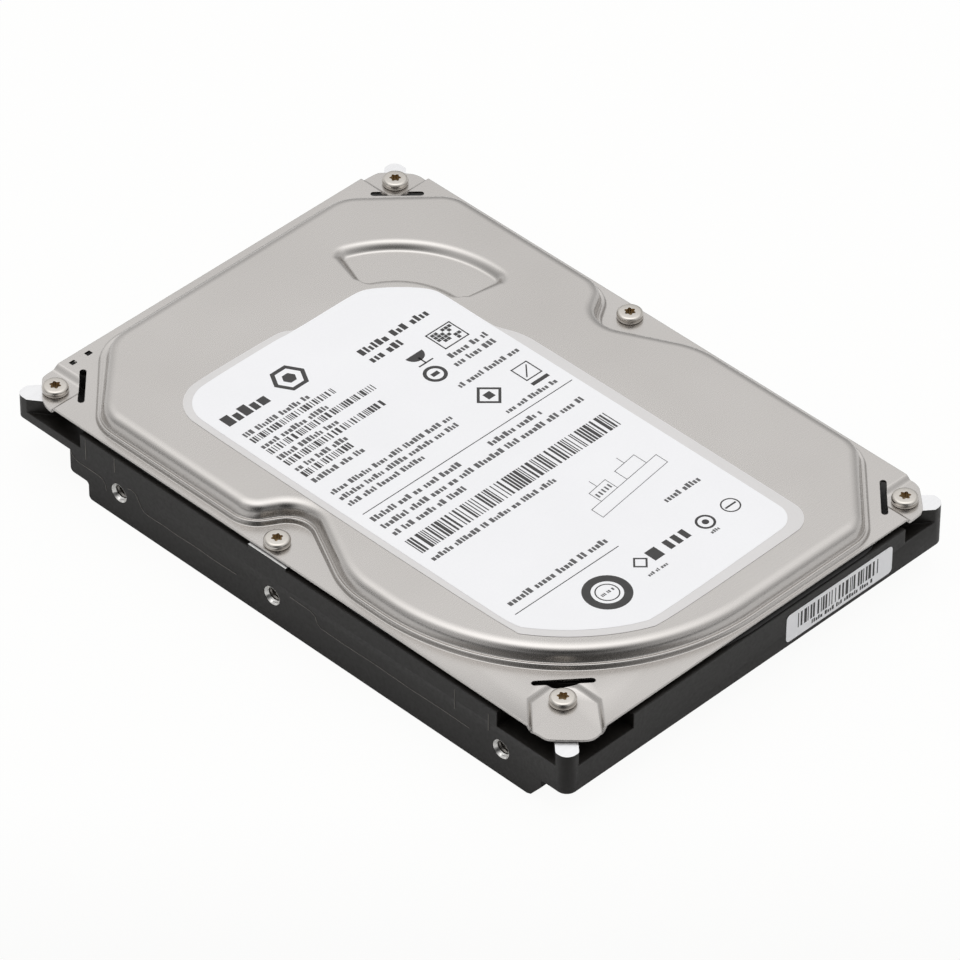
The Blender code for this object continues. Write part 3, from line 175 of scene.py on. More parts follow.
def sector(centre, inner, outer, start, end, steps, fillet, corner_steps=6):
    """Ring sector with four rounded corners."""
    def corner(radius, angle, first):
        middle = polar(centre, radius, angle)
        return arc(middle, fillet, first, first + 90, corner_steps)[1:-1]
    near, far = inner + fillet, outer - fillet
    trim_in = math.degrees(fillet / inner)
    trim_out = math.degrees(fillet / outer)
    return (arc(centre, outer, start + trim_out, end - trim_out, steps)
            + corner(far, end - trim_out, end)
            + [polar(centre, far, end), polar(centre, near, end)]
            + corner(near, end - trim_in, end + 90)
            + arc(centre, inner, end - trim_in, start + trim_in, steps)
            + corner(near, start + trim_in, start + 180)
            + [polar(centre, near, start), polar(centre, far, start)]
            + corner(far, start + trim_out, start - 90))


def taper(centre_a, radius_a, centre_b, radius_b, steps):
    """Outline wrapped round two circles."""
    dx, dy = centre_b[0] - centre_a[0], centre_b[1] - centre_a[1]
    mid = math.degrees(math.atan2(dy, dx))
    half = math.degrees(math.acos((radius_a - radius_b) / math.hypot(dx, dy)))
    return (arc(centre_b, radius_b, mid - half, mid + half, steps)
            + arc(centre_a, radius_a, mid + half, mid + 360 - half, steps))


def chaikin(points, rounds=2, closed=True):
    """Corner cutting; an open line keeps its two ends."""
    for _ in range(rounds):
        cuts = []
        for (x0, y0), (x1, y1) in closed_pairs(points) if closed else zip(points, points[1:]):
            cuts.append((0.75 * x0 + 0.25 * x1, 0.75 * y0 + 0.25 * y1))
            cuts.append((0.25 * x0 + 0.75 * x1, 0.25 * y0 + 0.75 * y1))
        points = cuts if closed else [points[0]] + cuts + [points[-1]]
    return points


# ---------------------------------------------------------------- solids
def add(data, name="piece"):
    piece = bpy.data.objects.new(name, data)
    SCENE.collection.objects.link(piece)
    return piece


def add_bmesh(shape):
    mesh = bpy.data.meshes.new("piece")
    shape.to_mesh(mesh)
    shape.free()
    return add(mesh)


def bake(piece):
    """Apply modifiers and place, weld, and turn the normals outward."""
    bpy.context.view_layer.update()
    graph = bpy.context.evaluated_depsgraph_get()
    mesh = bpy.data.meshes.new_from_object(piece.evaluated_get(graph), depsgraph=graph)
    place = piece.matrix_world.copy()
    bpy.data.objects.remove(piece, do_unlink=True)
    shape = bmesh.new()
    shape.from_mesh(mesh)
    bmesh.ops.remove_doubles(shape, verts=shape.verts, dist=1e-4)
    bmesh.ops.dissolve_degenerate(shape, dist=1e-5, edges=shape.edges)
    bmesh.ops.recalc_face_normals(shape, faces=shape.faces)
    shape.to_mesh(mesh)
    shape.free()
    mesh.transform(place)
    return add(mesh)


def plate(loops, z0, z1):
    """Flat plate; loops inside the first one are holes."""
    curve = bpy.data.curves.new("outline", "CURVE")
    curve.dimensions = "2D"
    curve.fill_mode = "BOTH"
    curve.extrude = (z1 - z0) / 2
    for loop in loops:
        spline = curve.splines.new("POLY")
        spline.points.add(len(loop) - 1)
        for point, (x, y) in zip(spline.points, loop):
            point.co = (x, y, 0.0, 1.0)
        spline.use_cyclic_u = True
    piece = add(curve)
    piece.location.z = (z0 + z1) / 2
    return bake(piece)


def turn_axes(piece, x_row, y_row, z_row):
    """Move a piece by the three rows of a matrix."""
    piece.data.transform(Matrix((x_row, y_row, z_row, (0, 0, 0, 1))))
    return piece


def box(x0, x1, y0, y1, z0, z1):
    shape = bmesh.new()
    bmesh.ops.create_cube(shape, size=1.0)
    for vert in shape.verts:
        x, y, z = vert.co
        vert.co = Vector((x0 if x < 0 else x1, y0 if y < 0 else y1, z0 if z < 0 else z1))
    return add_bmesh(shape)


def cylinder(centre, radius, start, end, sides=48, along_x=False):
    """Upright rod at (x, y), or a rod along x at (y, z)."""
    shape = bmesh.new()
    bmesh.ops.create_cone(shape, cap_ends=True, segments=sides,
                          radius1=radius, radius2=radius, depth=end - start)
    place = Matrix.Translation((0, 0, (start + end) / 2))
    if along_x:
        quarter = Matrix.Rotation(math.radians(90), 4, "Y")
        place = Matrix.Translation((0, centre[0], centre[1])) @ quarter @ place
    else:
        place = Matrix.Translation((centre[0], centre[1], 0)) @ place
    bmesh.ops.transform(shape, matrix=place, verts=shape.verts)
    return add_bmesh(shape)


def turned(profile, centre, sides, closed=False):
    """(radius, z) profile turned about an upright axis."""
    shape = bmesh.new()
    verts = [shape.verts.new((radius, 0.0, z)) for radius, z in profile]
    for pair in zip(verts, verts[1:]):
        shape.edges.new(pair)
    if closed:
        shape.edges.new((verts[-1], verts[0]))
    piece = add_bmesh(shape)
    screw = piece.modifiers.new("turn", "SCREW")
    screw.axis = "Z"
    screw.angle = 2 * math.pi
    screw.steps = screw.render_steps = sides
    screw.use_merge_vertices = True
    screw.merge_threshold = 1e-4
    piece.location = (centre[0], centre[1], 0.0)
    return bake(piece)


def combine(piece, others, operation):
    for other in others:
        boolean = piece.modifiers.new("boolean", "BOOLEAN")
        boolean.operation = operation
        boolean.solver = "EXACT"
        boolean.object = other
        piece = bake(piece)
        bpy.data.objects.remove(other, do_unlink=True)
    return piece


def cut(piece, *others):
    return combine(piece, others, "DIFFERENCE")


def join(piece, *others):
    return combine(piece, others, "UNION")


def bevel(piece, width, segments=2):
    edge = piece.modifiers.new("edge", "BEVEL")
    edge.width = width
    edge.segments = segments
    edge.limit_method = "ANGLE"
    edge.angle_limit = math.radians(40.0)
    edge.use_clamp_overlap = True
    return bake(piece)


class Slabs:
    """Many thin closed plates gathered in one mesh."""

    def __init__(self):
        self.shape = bmesh.new()

    def verts(self, points, z):
        return [self.shape.verts.new(point) for point in lift(points, z)]

    def poly(self, points, z0, z1):
        if sum(x0 * y1 - x1 * y0 for (x0, y0), (x1, y1) in closed_pairs(points)) < 0:
            points = points[::-1]
        low, high = self.verts(points, z0), self.verts(points, z1)
        self.shape.faces.new(high)
        self.shape.faces.new(low[::-1])
        for i in range(len(points)):
            j = (i + 1) % len(points)
            self.shape.faces.new((low[i], low[j], high[j], high[i]))

    def rect(self, x0, x1, y0, y1, z0, z1):
        self.poly([(x0, y0), (x1, y0), (x1, y1), (x0, y1)], z0, z1)

    def ring(self, centre, outer, inner, sides, z0, z1):
        loops = circle(centre, outer, sides), circle(centre, inner, sides)
        out_low, in_low, out_high, in_high = [self.verts(p, z) for z in (z0, z1) for p in loops]
        for i in range(sides):
            j = (i + 1) % sides
            self.shape.faces.new((out_high[i], out_high[j], in_high[j], in_high[i]))
            self.shape.faces.new((out_low[i], in_low[i], in_low[j], out_low[j]))
            self.shape.faces.new((out_low[i], out_low[j], out_high[j], out_high[i]))
            self.shape.faces.new((in_low[i], in_high[i], in_high[j], in_low[j]))

    def line(self, points, width, z0, z1):
        for (x0, y0), (x1, y1) in zip(points, points[1:]):
            length = math.hypot(x1 - x0, y1 - y0)
            ex, ey = (x1 - x0) / length * width / 2, (y1 - y0) / length * width / 2
            self.poly([(x0 - ex + ey, y0 - ey - ex), (x1 + ex + ey, y1 + ey - ex),
                       (x1 + ex - ey, y1 + ey + ex), (x0 - ex - ey, y0 - ey + ex)], z0, z1)

    def done(self):
        bmesh.ops.recalc_face_normals(self.shape, faces=self.shape.faces)
        return add_bmesh(self.shape)


class Marks(Slabs):
    """Printed marks at one height, moved by a shift from where they are drawn."""

    def __init__(self, z0, z1, shift=ORIGIN):
        super().__init__()
        self.heights = (z0, z1)
        self.shift = shift

    def at(self, x, y):
        return (x + self.shift[0], y + self.shift[1])

    def block(self, x0, x1, y0, y1):
        (x0, y0), (x1, y1) = self.at(x0, y0), self.at(x1, y1)
        self.rect(x0, x1, y0, y1, *self.heights)

    def text(self, x0, x1, y, height, bold=False):
        """A line of plain blocks in word-like groups: no letters."""
        x = x0
        while x < x1 - height * 0.5:
            for _ in range(random.choice((2, 3, 4, 5, 6, 7))):
                width = height * random.choice((0.34, 0.42, 0.5, 0.58)) * (1.15 if bold else 1.0)
                if x + width > x1:
                    break
                rise = random.choice((0.72, 0.72, 0.72, 1.0, 1.0))
                self.block(x, x + width, y - height / 2, y - height / 2 + height * rise)
                x += width + height * (0.16 if bold else 0.2)
            x += height * 0.5

    def bars(self, x0, x1, y0, y1, unit=0.22):
        """Upright bars of random width and spacing: an encoding of nothing."""
        x = x0
        while x < x1 - unit:
            width = unit * random.choice((1, 1, 1, 2, 2, 3))
            self.block(x, min(x + width, x1), y0, y1)
            x += width + unit * random.choice((1, 1, 2, 2, 3))

    def hoop(self, x, y, radius, width, sides=40):
        self.ring(self.at(x, y), radius, radius - width, sides, *self.heights)

    def disc(self, x, y, radius, sides=32):
        self.poly(circle(self.at(x, y), radius, sides), *self.heights)

    def stroke(self, points, width):
        self.line([self.at(x, y) for x, y in points], width, *self.heights)

    def frame(self, x0, x1, y0, y1, width):
        self.stroke([(x0, y0), (x1, y0), (x1, y1), (x0, y1), (x0, y0)], width)


def grid_tube(rings, joined=False):
    """Surface through rings of equal point counts, with the ends joined up or capped."""
    shape = bmesh.new()
    rows = [[shape.verts.new(point) for point in ring] for ring in rings]
    for i in range(len(rows) if joined else len(rows) - 1):
        here, following = rows[i], rows[(i + 1) % len(rows)]
        for j in range(len(here)):
            k = (j + 1) % len(here)
            shape.faces.new((here[j], here[k], following[k], following[j]))
    if not joined:
        shape.faces.new(rows[0][::-1])
        shape.faces.new(rows[-1])
    bmesh.ops.recalc_face_normals(shape, faces=shape.faces)
    return add_bmesh(shape)


# ---------------------------------------------------------------- shader building
def feed(tree, socket, value):
    if isinstance(value, (int, float, tuple)):
        socket.default_value = value
    else:
        tree.links.new(value, socket)


def math_node(tree, operation, first, second=0.0):
    node = tree.nodes.new("ShaderNodeMath")
    node.operation = operation
    feed(tree, node.inputs[0], first)
    feed(tree, node.inputs[1], second)
    return node.outputs[0]


def shade(rgb, factor):
    return tuple(min(1.0, c * factor) for c in rgb)


class Surface:
    """Node tree round one Principled BSDF. Coordinates are object space, in mm."""

    def __init__(self, name, rgb, rough, metal=0.0, **extra):
        self.material = bpy.data.materials.new(name)
        self.material.use_nodes = True
        self.material.diffuse_color = (*rgb, 1)
        self.tree = self.material.node_tree
        self.shader = self.tree.nodes["Principled BSDF"]
        self.rgb = rgb
        self.normal = None
        self.set(self.shader, Base_Color=(*rgb, 1), Roughness=rough, Metallic=metal, **extra)

    def node(self, kind, **settings):
        node = self.tree.nodes.new("ShaderNode" + kind)
        for key, value in settings.items():
            setattr(node, key, value)
        return node

    def set(self, node, **values):
        """Feed inputs by name, with _ for a space."""
        for key, value in values.items():
            feed(self.tree, node.inputs[key.replace("_", " ")], value)

    @cached_property
    def coords(self):
        scale = self.node("VectorMath", operation="SCALE")
        scale.inputs["Scale"].default_value = 1000.0
        feed(self.tree, scale.inputs[0], self.node("TexCoord").outputs["Object"])
        return scale.outputs[0]

    def math(self, operation, first, second=0.0):
        return math_node(self.tree, operation, first, second)

    def stretch(self, *factors):
        node = self.node("VectorMath", operation="MULTIPLY")
        feed(self.tree, node.inputs[0], self.coords)
        node.inputs[1].default_value = factors
        return node.outputs[0]

    def xyz(self):
        node = self.node("SeparateXYZ")
        feed(self.tree, node.inputs[0], self.coords)
        return node.outputs

    def radius(self, centre):
        """Distance from an upright axis."""
        x, y, _ = self.xyz()
        dx = self.math("SUBTRACT", x, centre[0])
        dy = self.math("SUBTRACT", y, centre[1])
        squares = self.math("ADD", self.math("MULTIPLY", dx, dx), self.math("MULTIPLY", dy, dy))
        return self.math("SQRT", squares)

    def noise(self, scale, detail=3.0, rough=0.55, coords=None):
        node = self.node("TexNoise")
        self.set(node, Scale=scale, Detail=detail, Roughness=rough, Vector=coords or self.coords)
        return node.outputs["Fac"]

    def ramp(self, value, stops):
        """Colour ramp through (position, rgb) stops."""
        node = self.node("ValToRGB")
        elements = node.color_ramp.elements
        while len(elements) < len(stops):
            elements.new(0.5)
        for element, (position, rgb) in zip(elements, stops):
            element.position = position
            element.color = (*rgb, 1)
        feed(self.tree, node.inputs[0], value)
        return node.outputs[0]

    def remap(self, value, span, to=(0.0, 1.0)):
        node = self.node("MapRange")
        self.set(node, From_Min=span[0], From_Max=span[1], To_Min=to[0], To_Max=to[1], Value=value)
        return node.outputs[0]

    def weigh(self, first, first_weight, second, second_weight):
        return self.math("ADD", self.math("MULTIPLY", first, first_weight),
                         self.math("MULTIPLY", second, second_weight))

    def mix(self, factor, first, second):
        """Colour mix; 0, 6 and 7 are the node's factor and colour inputs, 2 its colour output."""
        node = self.node("Mix", data_type="RGBA")
        for index, value in ((0, factor), (6, first), (7, (*second, 1))):
            feed(self.tree, node.inputs[index], value)
        return node.outputs[2]

    def color(self, value):
        self.set(self.shader, Base_Color=value)

    def rough(self, value, low, high):
        """Roughness from low to high over the middle of a noise."""
        self.set(self.shader, Roughness=self.remap(value, span=(0.3, 0.7), to=(low, high)))

    def bump(self, value, depth):
        """Add a bump of this depth (mm) on top of those before it."""
        node = self.node("Bump")
        self.set(node, Distance=depth * MM, Strength=1.0, Height=value)
        if self.normal is not None:
            self.set(node, Normal=self.normal)
        self.use_normal(node.outputs[0])

    def round_edges(self, radius, samples=4):
        """Soft edges (mm) for light to catch; put it before any bump."""
        node = self.node("Bevel", samples=samples)
        self.set(node, Radius=radius * MM)
        self.use_normal(node.outputs[0])

    def use_normal(self, normal):
        self.normal = normal
        self.set(self.shader, Normal=normal)

    def vary(self, amount, scale, fine, rgb=None):
        """Base colour with slow and fine mottling."""
        rgb = rgb or self.rgb
        slow = self.noise(scale=scale, detail=3.0)
        both = self.weigh(slow, 0.6, self.noise(scale=fine, detail=2.0), 0.4)
        self.color(self.ramp(both, [(0.3, shade(rgb, 1 - amount)), (0.7, shade(rgb, 1 + amount))]))


# ---------------------------------------------------------------- materials
def satin_cover():
    steel = Surface("satin_stainless_sheet", rgb=(0.52, 0.502, 0.484), rough=0.3, metal=1.0)
    steel.round_edges(radius=0.14)
    grain = steel.noise(scale=7.0, detail=3.0, rough=0.7)
    lay = steel.noise(scale=1.0, detail=4.0, rough=0.6, coords=steel.stretch(0.35, 9.0, 1.0))
    cloud = steel.noise(scale=0.035, detail=2.0)
    steel.color(steel.ramp(steel.weigh(grain, 0.5, cloud, 0.5),
                           [(0.28, (0.494, 0.473, 0.454)), (0.72, (0.563, 0.542, 0.523))]))
    steel.rough(steel.weigh(grain, 0.7, lay, 0.3), low=0.22, high=0.31)
    steel.bump(grain, depth=0.0028)
    steel.bump(lay, depth=0.0014)
    return steel.material


def bright_nickel():
    nickel = Surface("bright_nickel", rgb=(0.575, 0.545, 0.505), rough=0.14, metal=1.0)
    nickel.round_edges(radius=0.12)
    nickel.vary(amount=0.05, scale=0.5, fine=6.0)
    nickel.rough(nickel.noise(scale=5.0), low=0.14 * 0.8, high=0.14 * 1.6)
    nickel.bump(nickel.noise(scale=9.0, detail=2.0), depth=0.004)
    return nickel.material


def socket_plating():
    plating = Surface("socket_shadowed_plating", rgb=(0.46, 0.37, 0.25), rough=0.2, metal=1.0)
    plating.vary(amount=0.3, scale=1.5, fine=6.0)
    plating.bump(plating.noise(scale=8.0, detail=2.0), depth=0.01)
    return plating.material


def coated_casting():
    coat = Surface("black_coated_casting", rgb=(0.0118, 0.0104, 0.0090), rough=0.42,
                   Specular_IOR_Level=0.36)
    coat.round_edges(radius=0.28, samples=6)
    coat.vary(amount=0.2, scale=0.06, fine=1.6)
    coat.rough(coat.noise(scale=1.2, detail=4.0), low=0.36, high=0.5)
    coat.bump(coat.noise(scale=2.6, detail=3.0, rough=0.6), depth=0.012)
    coat.bump(coat.noise(scale=0.35, detail=2.0), depth=0.03)
    return coat.material


def milled(name, rgb, rough, pitch=6.0):
    """Cutter marks running along x."""
    metal = Surface(name, rgb, rough, metal=1.0)
    lay = metal.noise(scale=1.0, detail=3.0, rough=0.6, coords=metal.stretch(0.3, pitch, 0.3))
    metal.color(metal.ramp(lay, [(0.3, shade(rgb, 0.93)), (0.7, rgb)]))
    metal.rough(lay, low=rough * 0.85, high=rough * 1.2)
    metal.bump(lay, depth=0.003)
    return metal.material


def plain(name, rgb, rough, amount=0.08, scale=0.2, fine=3.0, bump=0.008, bump_scale=3.0,
          edge=0.0, **extra):
    surface = Surface(name, rgb, rough, **extra)
    if edge > 0:
        surface.round_edges(radius=edge)
    surface.vary(amount=amount, scale=scale, fine=fine)
    surface.rough(surface.noise(scale=fine * 0.8), low=rough * 0.85, high=min(1.0, rough * 1.2))
    surface.bump(surface.noise(scale=bump_scale), depth=bump)
    return surface.material


def label_stock():
    paper = Surface("white_label_stock", rgb=(0.92, 0.92, 0.935), rough=0.38,
                    Specular_IOR_Level=0.35)
    paper.vary(amount=0.018, scale=0.05, fine=2.0, rgb=(0.92, 0.92, 0.937))
    paper.rough(paper.noise(scale=1.2), low=0.32, high=0.46)
    paper.bump(paper.noise(scale=0.12, detail=2.0), depth=0.02)
    paper.bump(paper.noise(scale=4.0, detail=2.0), depth=0.0015)
    return paper.material


def border_film():
    film = Surface("clear_border_film", rgb=(0.66, 0.645, 0.64), rough=0.34, metal=0.25)
    film.vary(amount=0.03, scale=0.05, fine=2.5, rgb=(0.70, 0.685, 0.68))
    film.bump(film.noise(scale=0.15, detail=2.0), depth=0.015)
    return film.material


def printed_ink(name, rgb):
    ink = Surface(name, rgb, rough=0.5)
    ink.vary(amount=0.25, scale=0.6, fine=7.0)
    ink.bump(ink.noise(scale=8.0, detail=2.0), depth=0.001)
    return ink.material


def bronze_bush():
    """Turning marks: rings about the spindle, 1.1 mm apart."""
    rgb = (0.70, 0.50, 0.26)
    bronze = Surface("bronze_bush", rgb, rough=0.3, metal=1.0)
    wobble = bronze.math("MULTIPLY", bronze.noise(scale=0.4, detail=2.0), 0.4)
    phase = bronze.math("ADD", bronze.radius(SPINDLE), wobble)
    wave = bronze.math("SINE", bronze.math("MULTIPLY", phase, 2 * math.pi / 1.1))
    bronze.color(bronze.ramp(bronze.remap(wave, span=(-1.0, 1.0)),
                             [(0.0, shade(rgb, 0.94)), (1.0, rgb)]))
    bronze.rough(bronze.noise(scale=1.5), low=0.3 * 0.8, high=0.3 * 1.25)
    bronze.bump(wave, depth=0.0014)
    return bronze.material


def polished_disc():
    disc = Surface("polished_disc", rgb=(0.78, 0.775, 0.77), rough=0.025, metal=1.0)
    radius = disc.radius(SPINDLE)
    disc.color(disc.ramp(disc.remap(radius, span=(12.0, 48.0)),
                         [(0.0, (0.70, 0.70, 0.71)), (0.12, (0.78, 0.775, 0.76)),
                          (0.9, (0.76, 0.75, 0.735)), (1.0, (0.70, 0.69, 0.68))]))
    disc.rough(disc.noise(scale=0.2, detail=2.0), low=0.02, high=0.035)
    disc.bump(disc.math("SINE", disc.math("MULTIPLY", radius, 40.0)), depth=0.0002)
    return disc.material


def solder_mask():
    mask = Surface("green_solder_mask", rgb=(0.012, 0.085, 0.060), rough=0.3,
                   Coat_Weight=0.5, Coat_Roughness=0.15)
    pour = mask.noise(scale=0.16, detail=1.0, rough=0.4, coords=mask.stretch(1.0, 1.0, 0.0))
    weave = mask.noise(scale=3.0, detail=2.0, rough=0.5)
    base = mask.ramp(pour, [(0.46, (0.010, 0.075, 0.052)), (0.5, (0.016, 0.115, 0.078))])
    mask.color(mask.mix(factor=mask.math("MULTIPLY", weave, 0.35),
                        first=base, second=(0.02, 0.14, 0.10)))
    mask.rough(weave, low=0.24, high=0.4)
    mask.bump(pour, depth=0.02)
    mask.bump(weave, depth=0.004)
    return mask.material


def flex_film():
    """Stripes across the height of the ribbon, 0.36 mm apart."""
    film = Surface("amber_flex_film", rgb=(0.55, 0.25, 0.06), rough=0.25,
                   Coat_Weight=0.4, Coat_Roughness=0.12)
    wave = film.math("SINE", film.math("MULTIPLY", film.xyz()[2], 2 * math.pi / 0.36))
    film.color(film.ramp(film.remap(wave, span=(-1, 1)),
                         [(0.4, (0.36, 0.13, 0.025)), (0.6, (0.62, 0.30, 0.09))]))
    film.bump(wave, depth=0.01)
    return film.material


def filter_fibre():
    fibre = Surface("nonwoven_filter_fibre", rgb=(0.80, 0.80, 0.78), rough=0.9, Sheen_Weight=0.4)
    felt = fibre.noise(scale=2.2, detail=5.0, rough=0.75)
    fibre.color(fibre.ramp(felt, [(0.3, (0.60, 0.60, 0.58)), (0.7, (0.86, 0.86, 0.84))]))
    fibre.bump(felt, depth=0.12)
    return fibre.material


def copper_wire():
    wire = Surface("enamelled_copper_wire", rgb=(0.70, 0.30, 0.12), rough=0.25, metal=1.0,
                   Coat_Weight=0.6, Coat_Roughness=0.1)
    wire.vary(amount=0.14, scale=0.6, fine=5.0, rgb=(0.74, 0.33, 0.13))
    wire.bump(wire.noise(scale=7.0, detail=2.0), depth=0.004)
    return wire.material


COVER = satin_cover()
NICKEL = bright_nickel()
SOCKET = socket_plating()
CASTING = coated_casting()
BARE = milled("machined_casting_face", rgb=(0.86, 0.86, 0.87), rough=0.34)
LEDGE = milled("milled_ledge", rgb=(0.78, 0.78, 0.78), rough=0.4, pitch=3.0)
THREAD = milled("cut_thread", rgb=(0.80, 0.79, 0.77), rough=0.24, pitch=5.0)
# Painted shade: a dark copy of the cut thread, for the thread faces more than 1 mm into a hole.
THREAD_PAINTED_SHADE = milled("cut_thread_painted_shade", rgb=(0.30, 0.285, 0.265), rough=0.30, pitch=5.0)
CASTLINE = plain("casting_line", rgb=(0.12, 0.112, 0.10), rough=0.5, amount=0.35, scale=0.7,
                 bump=0.02)
RUBBER = plain("seal_rubber", rgb=(0.022, 0.022, 0.022), rough=0.75, bump=0.02, bump_scale=4.0)
LABEL = label_stock()
FILM = border_film()
INK = printed_ink("printed_ink", rgb=(0.035, 0.033, 0.033))
GREY_INK = printed_ink("printed_ink_light", rgb=(0.10, 0.098, 0.10))
STEEL = milled("ground_steel", rgb=(0.62, 0.62, 0.63), rough=0.28)
YOKE = plain("nickel_plated_yoke", rgb=(0.70, 0.69, 0.67), rough=0.26, metal=1.0, amount=0.05,
             scale=0.3, fine=4.0, bump=0.004, bump_scale=5.0, edge=0.15)
MAGNET = plain("magnet_plating", rgb=(0.72, 0.71, 0.70), rough=0.14, metal=1.0, amount=0.04,
               scale=0.3, fine=4.0, bump=0.004, bump_scale=4.0, edge=0.15)
ALU = plain("turned_aluminium", rgb=(0.84, 0.84, 0.85), rough=0.26, metal=1.0, amount=0.05,
            scale=0.3, fine=4.0, bump=0.003, bump_scale=4.0)
ARM = milled("milled_aluminium_arm", rgb=(0.82, 0.82, 0.83), rough=0.30, pitch=4.0)
BUSH = bronze_bush()
DISC = polished_disc()
COPPER = copper_wire()
PLASTIC = plain("dark_moulded_plastic", rgb=(0.018, 0.018, 0.020), rough=0.42, amount=0.15,
                bump=0.012, bump_scale=3.5, edge=0.15)
LATCH_PLASTIC = plain("amber_moulded_plastic", rgb=(0.10, 0.085, 0.07), rough=0.4, amount=0.12,
                      bump=0.01, edge=0.15)
CHIP = plain("chip_resin", rgb=(0.014, 0.014, 0.015), rough=0.5, amount=0.2, bump=0.012,
             bump_scale=6.0, edge=0.1)
CERAMIC = plain("slider_ceramic", rgb=(0.05, 0.05, 0.055), rough=0.18, metal=0.3, amount=0.1)
FLEX = flex_film()
FIBRE = filter_fibre()
FOAM = plain("insulator_foam", rgb=(0.05, 0.05, 0.05), rough=0.9, amount=0.2, bump=0.06)
BOARD = solder_mask()
GOLD = plain("gold_plate", rgb=(0.90, 0.66, 0.30), rough=0.2, metal=1.0, amount=0.05, scale=0.5,
             fine=4.0, bump=0.003, bump_scale=6.0)
TIN = plain("tinned_pad", rgb=(0.74, 0.74, 0.73), rough=0.3, metal=1.0, scale=0.8, fine=4.0,
            bump=0.02, bump_scale=2.0)
TRACE = plain("masked_trace", rgb=(0.022, 0.15, 0.105), rough=0.28, scale=0.3, bump=0.004,
              bump_scale=4.0)
STOP = plain("stop_rubber", rgb=(0.035, 0.034, 0.033), rough=0.6, bump=0.01)


# ---------------------------------------------------------------- placing finished pieces
def dress(piece, materials, name, sharp, pick=None):
    """Name, scale to metres, shade; pick(centre in mm, normal) chooses each face's material."""
    piece.name = name
    mesh = piece.data
    mesh.transform(Matrix.Scale(MM, 4))
    mesh.materials.clear()
    for material in materials if isinstance(materials, list) else [materials]:
        mesh.materials.append(material)
    if pick:
        for face in mesh.polygons:
            face.material_index = pick(face.center / MM, face.normal)
    mesh.shade_smooth()
    mesh.set_sharp_from_angle(angle=math.radians(sharp))
    mesh.update()


def put(piece, materials, node, name=None, sharp=32.0, pick=None):
    """A piece that stands for a CAD node and rides on its body."""
    dress(piece, materials, name or node + "_fine", sharp, pick)
    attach(piece, BODY_OF[node])
    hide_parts(node)


def extra(piece, materials, name, slot, body="chassis", sharp=32.0, pick=None):
    """A piece with no CAD node of its own."""
    dress(piece, materials, name, sharp, pick)
    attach(piece, body)


# ---------------------------------------------------------------- cover step outline
# Corners of the raised field, from the front: x, y, radius, arc steps (before scaling).
STEP_CORNERS = [
    (31.3, -71.9, 8.0, 3), (48.6, -54.6, 8.0, 3),
    (48.6, -12.7, 20.0, 3), (38.8, 6.4, 5.4, 5), (48.6, 12.45, 7.0, 4),
    (48.6, 53.4, 9.0, 3), (31.6, 70.4, 10.0, 3),
    (-31.6, 70.4, 10.0, 3), (-48.6, 53.4, 9.0, 3),
    (-48.6, 12.45, 7.0, 4), (-38.8, 6.4, 5.4, 5), (-48.6, -12.7, 20.0, 3),
]
# The front left corner is one large arc.
ARC_C, ARC_R = (0.0, -23.2), 48.7


def step_line(detail, arc_steps):
    """Points of the step, each with its inward direction."""
    route = [(0.0, ARC_C[1] - ARC_R)] + [c[:2] for c in STEP_CORNERS] + [(-ARC_R, ARC_C[1])]
    line = []
    for i, (_, _, radius, steps) in enumerate(STEP_CORNERS):
        before, corner, after = (Vector(p) for p in route[i:i + 3])
        left_turn = (corner - before).cross(after - corner) > 0
        centre, spokes = fillet_spokes(corner, before, after, radius, steps * detail)
        for spoke in spokes:
            inward = (-spoke if left_turn else spoke).normalized()
            line.append((tuple(centre + spoke), tuple(inward)))
    for k in range(arc_steps + 1):
        angle = 180.0 + 90.0 * k / arc_steps
        line.append((polar(ARC_C, ARC_R, angle), polar(ORIGIN, -1.0, angle)))
    return line


def offset_line(line, inset, rear_extra=0.0):
    """The line moved inward, and its rear end moved further forward."""
    return [(x + nx * inset, y + ny * inset - rear_extra * smooth((y - 58.0) / 10.0))
            for (x, y), (nx, ny) in line]


STEP_FINE = step_line(detail=4, arc_steps=48)
STEP_COARSE = step_line(detail=2, arc_steps=24)

# ---------------------------------------------------------------- base casting
# Side rail section: y, z, radius.
RAIL = [(-66.9, 6.4, 0), (-66.9, 3.6, 0.9), (-64.3, 0.35, 0.9), (-63.3, 0.0, 0.6),
        (53.5, 0.0, 0.9), (53.5, 4.0, 0.8), (58.5, 4.0, 0.9), (58.5, 6.4, 0)]
POCKET_ARC_R = ARC_R + 2.0
POCKET_A0 = math.degrees(math.asin((55.5 + ARC_C[1]) / POCKET_ARC_R))
POCKET_A1 = math.degrees(math.acos(33.5 / POCKET_ARC_R))
# Corner pockets: cover screw, |y| at the side, |x| at the end, inner edge, post radius at screw.
POCKETS = [
    ("front_left", 55.5, 33.5,
     arc(ARC_C, POCKET_ARC_R, 180.0 + POCKET_A0, 180.0 + POCKET_A1, 20), 2.12),
    ("front_right", 56.3, 39.5, [(49.7, -56.3), (39.5, -66.5)], 2.35),
    ("rear_left", 55.5, 38.5, [(-49.3, 55.5), (-38.5, 66.3)], 2.8),
    ("rear_right", 55.5, 38.5, [(49.7, 55.5), (38.5, 66.7)], 2.4),
]


def pocket(screw_name, side_y, end_x, inner, post_r):
    """Cutter for a corner pocket, leaving a post that reaches from the corner to the screw."""
    screw = COVER_SCREWS[screw_name]
    side, end = math.copysign(1, screw[0]), math.copysign(1, screw[1])
    outline = [(side * 60, end * side_y)] + inner + [(side * end_x, end * 90),
                                                     (side * 60, end * 90)]
    post = taper((side * (HALF_X - 1.9), end * 71.5), 2.15, screw, post_r, 20)
    return cut(plate([outline], POCKET_FLOOR, 30.0), plate([post], 0.0, POST_TOP))


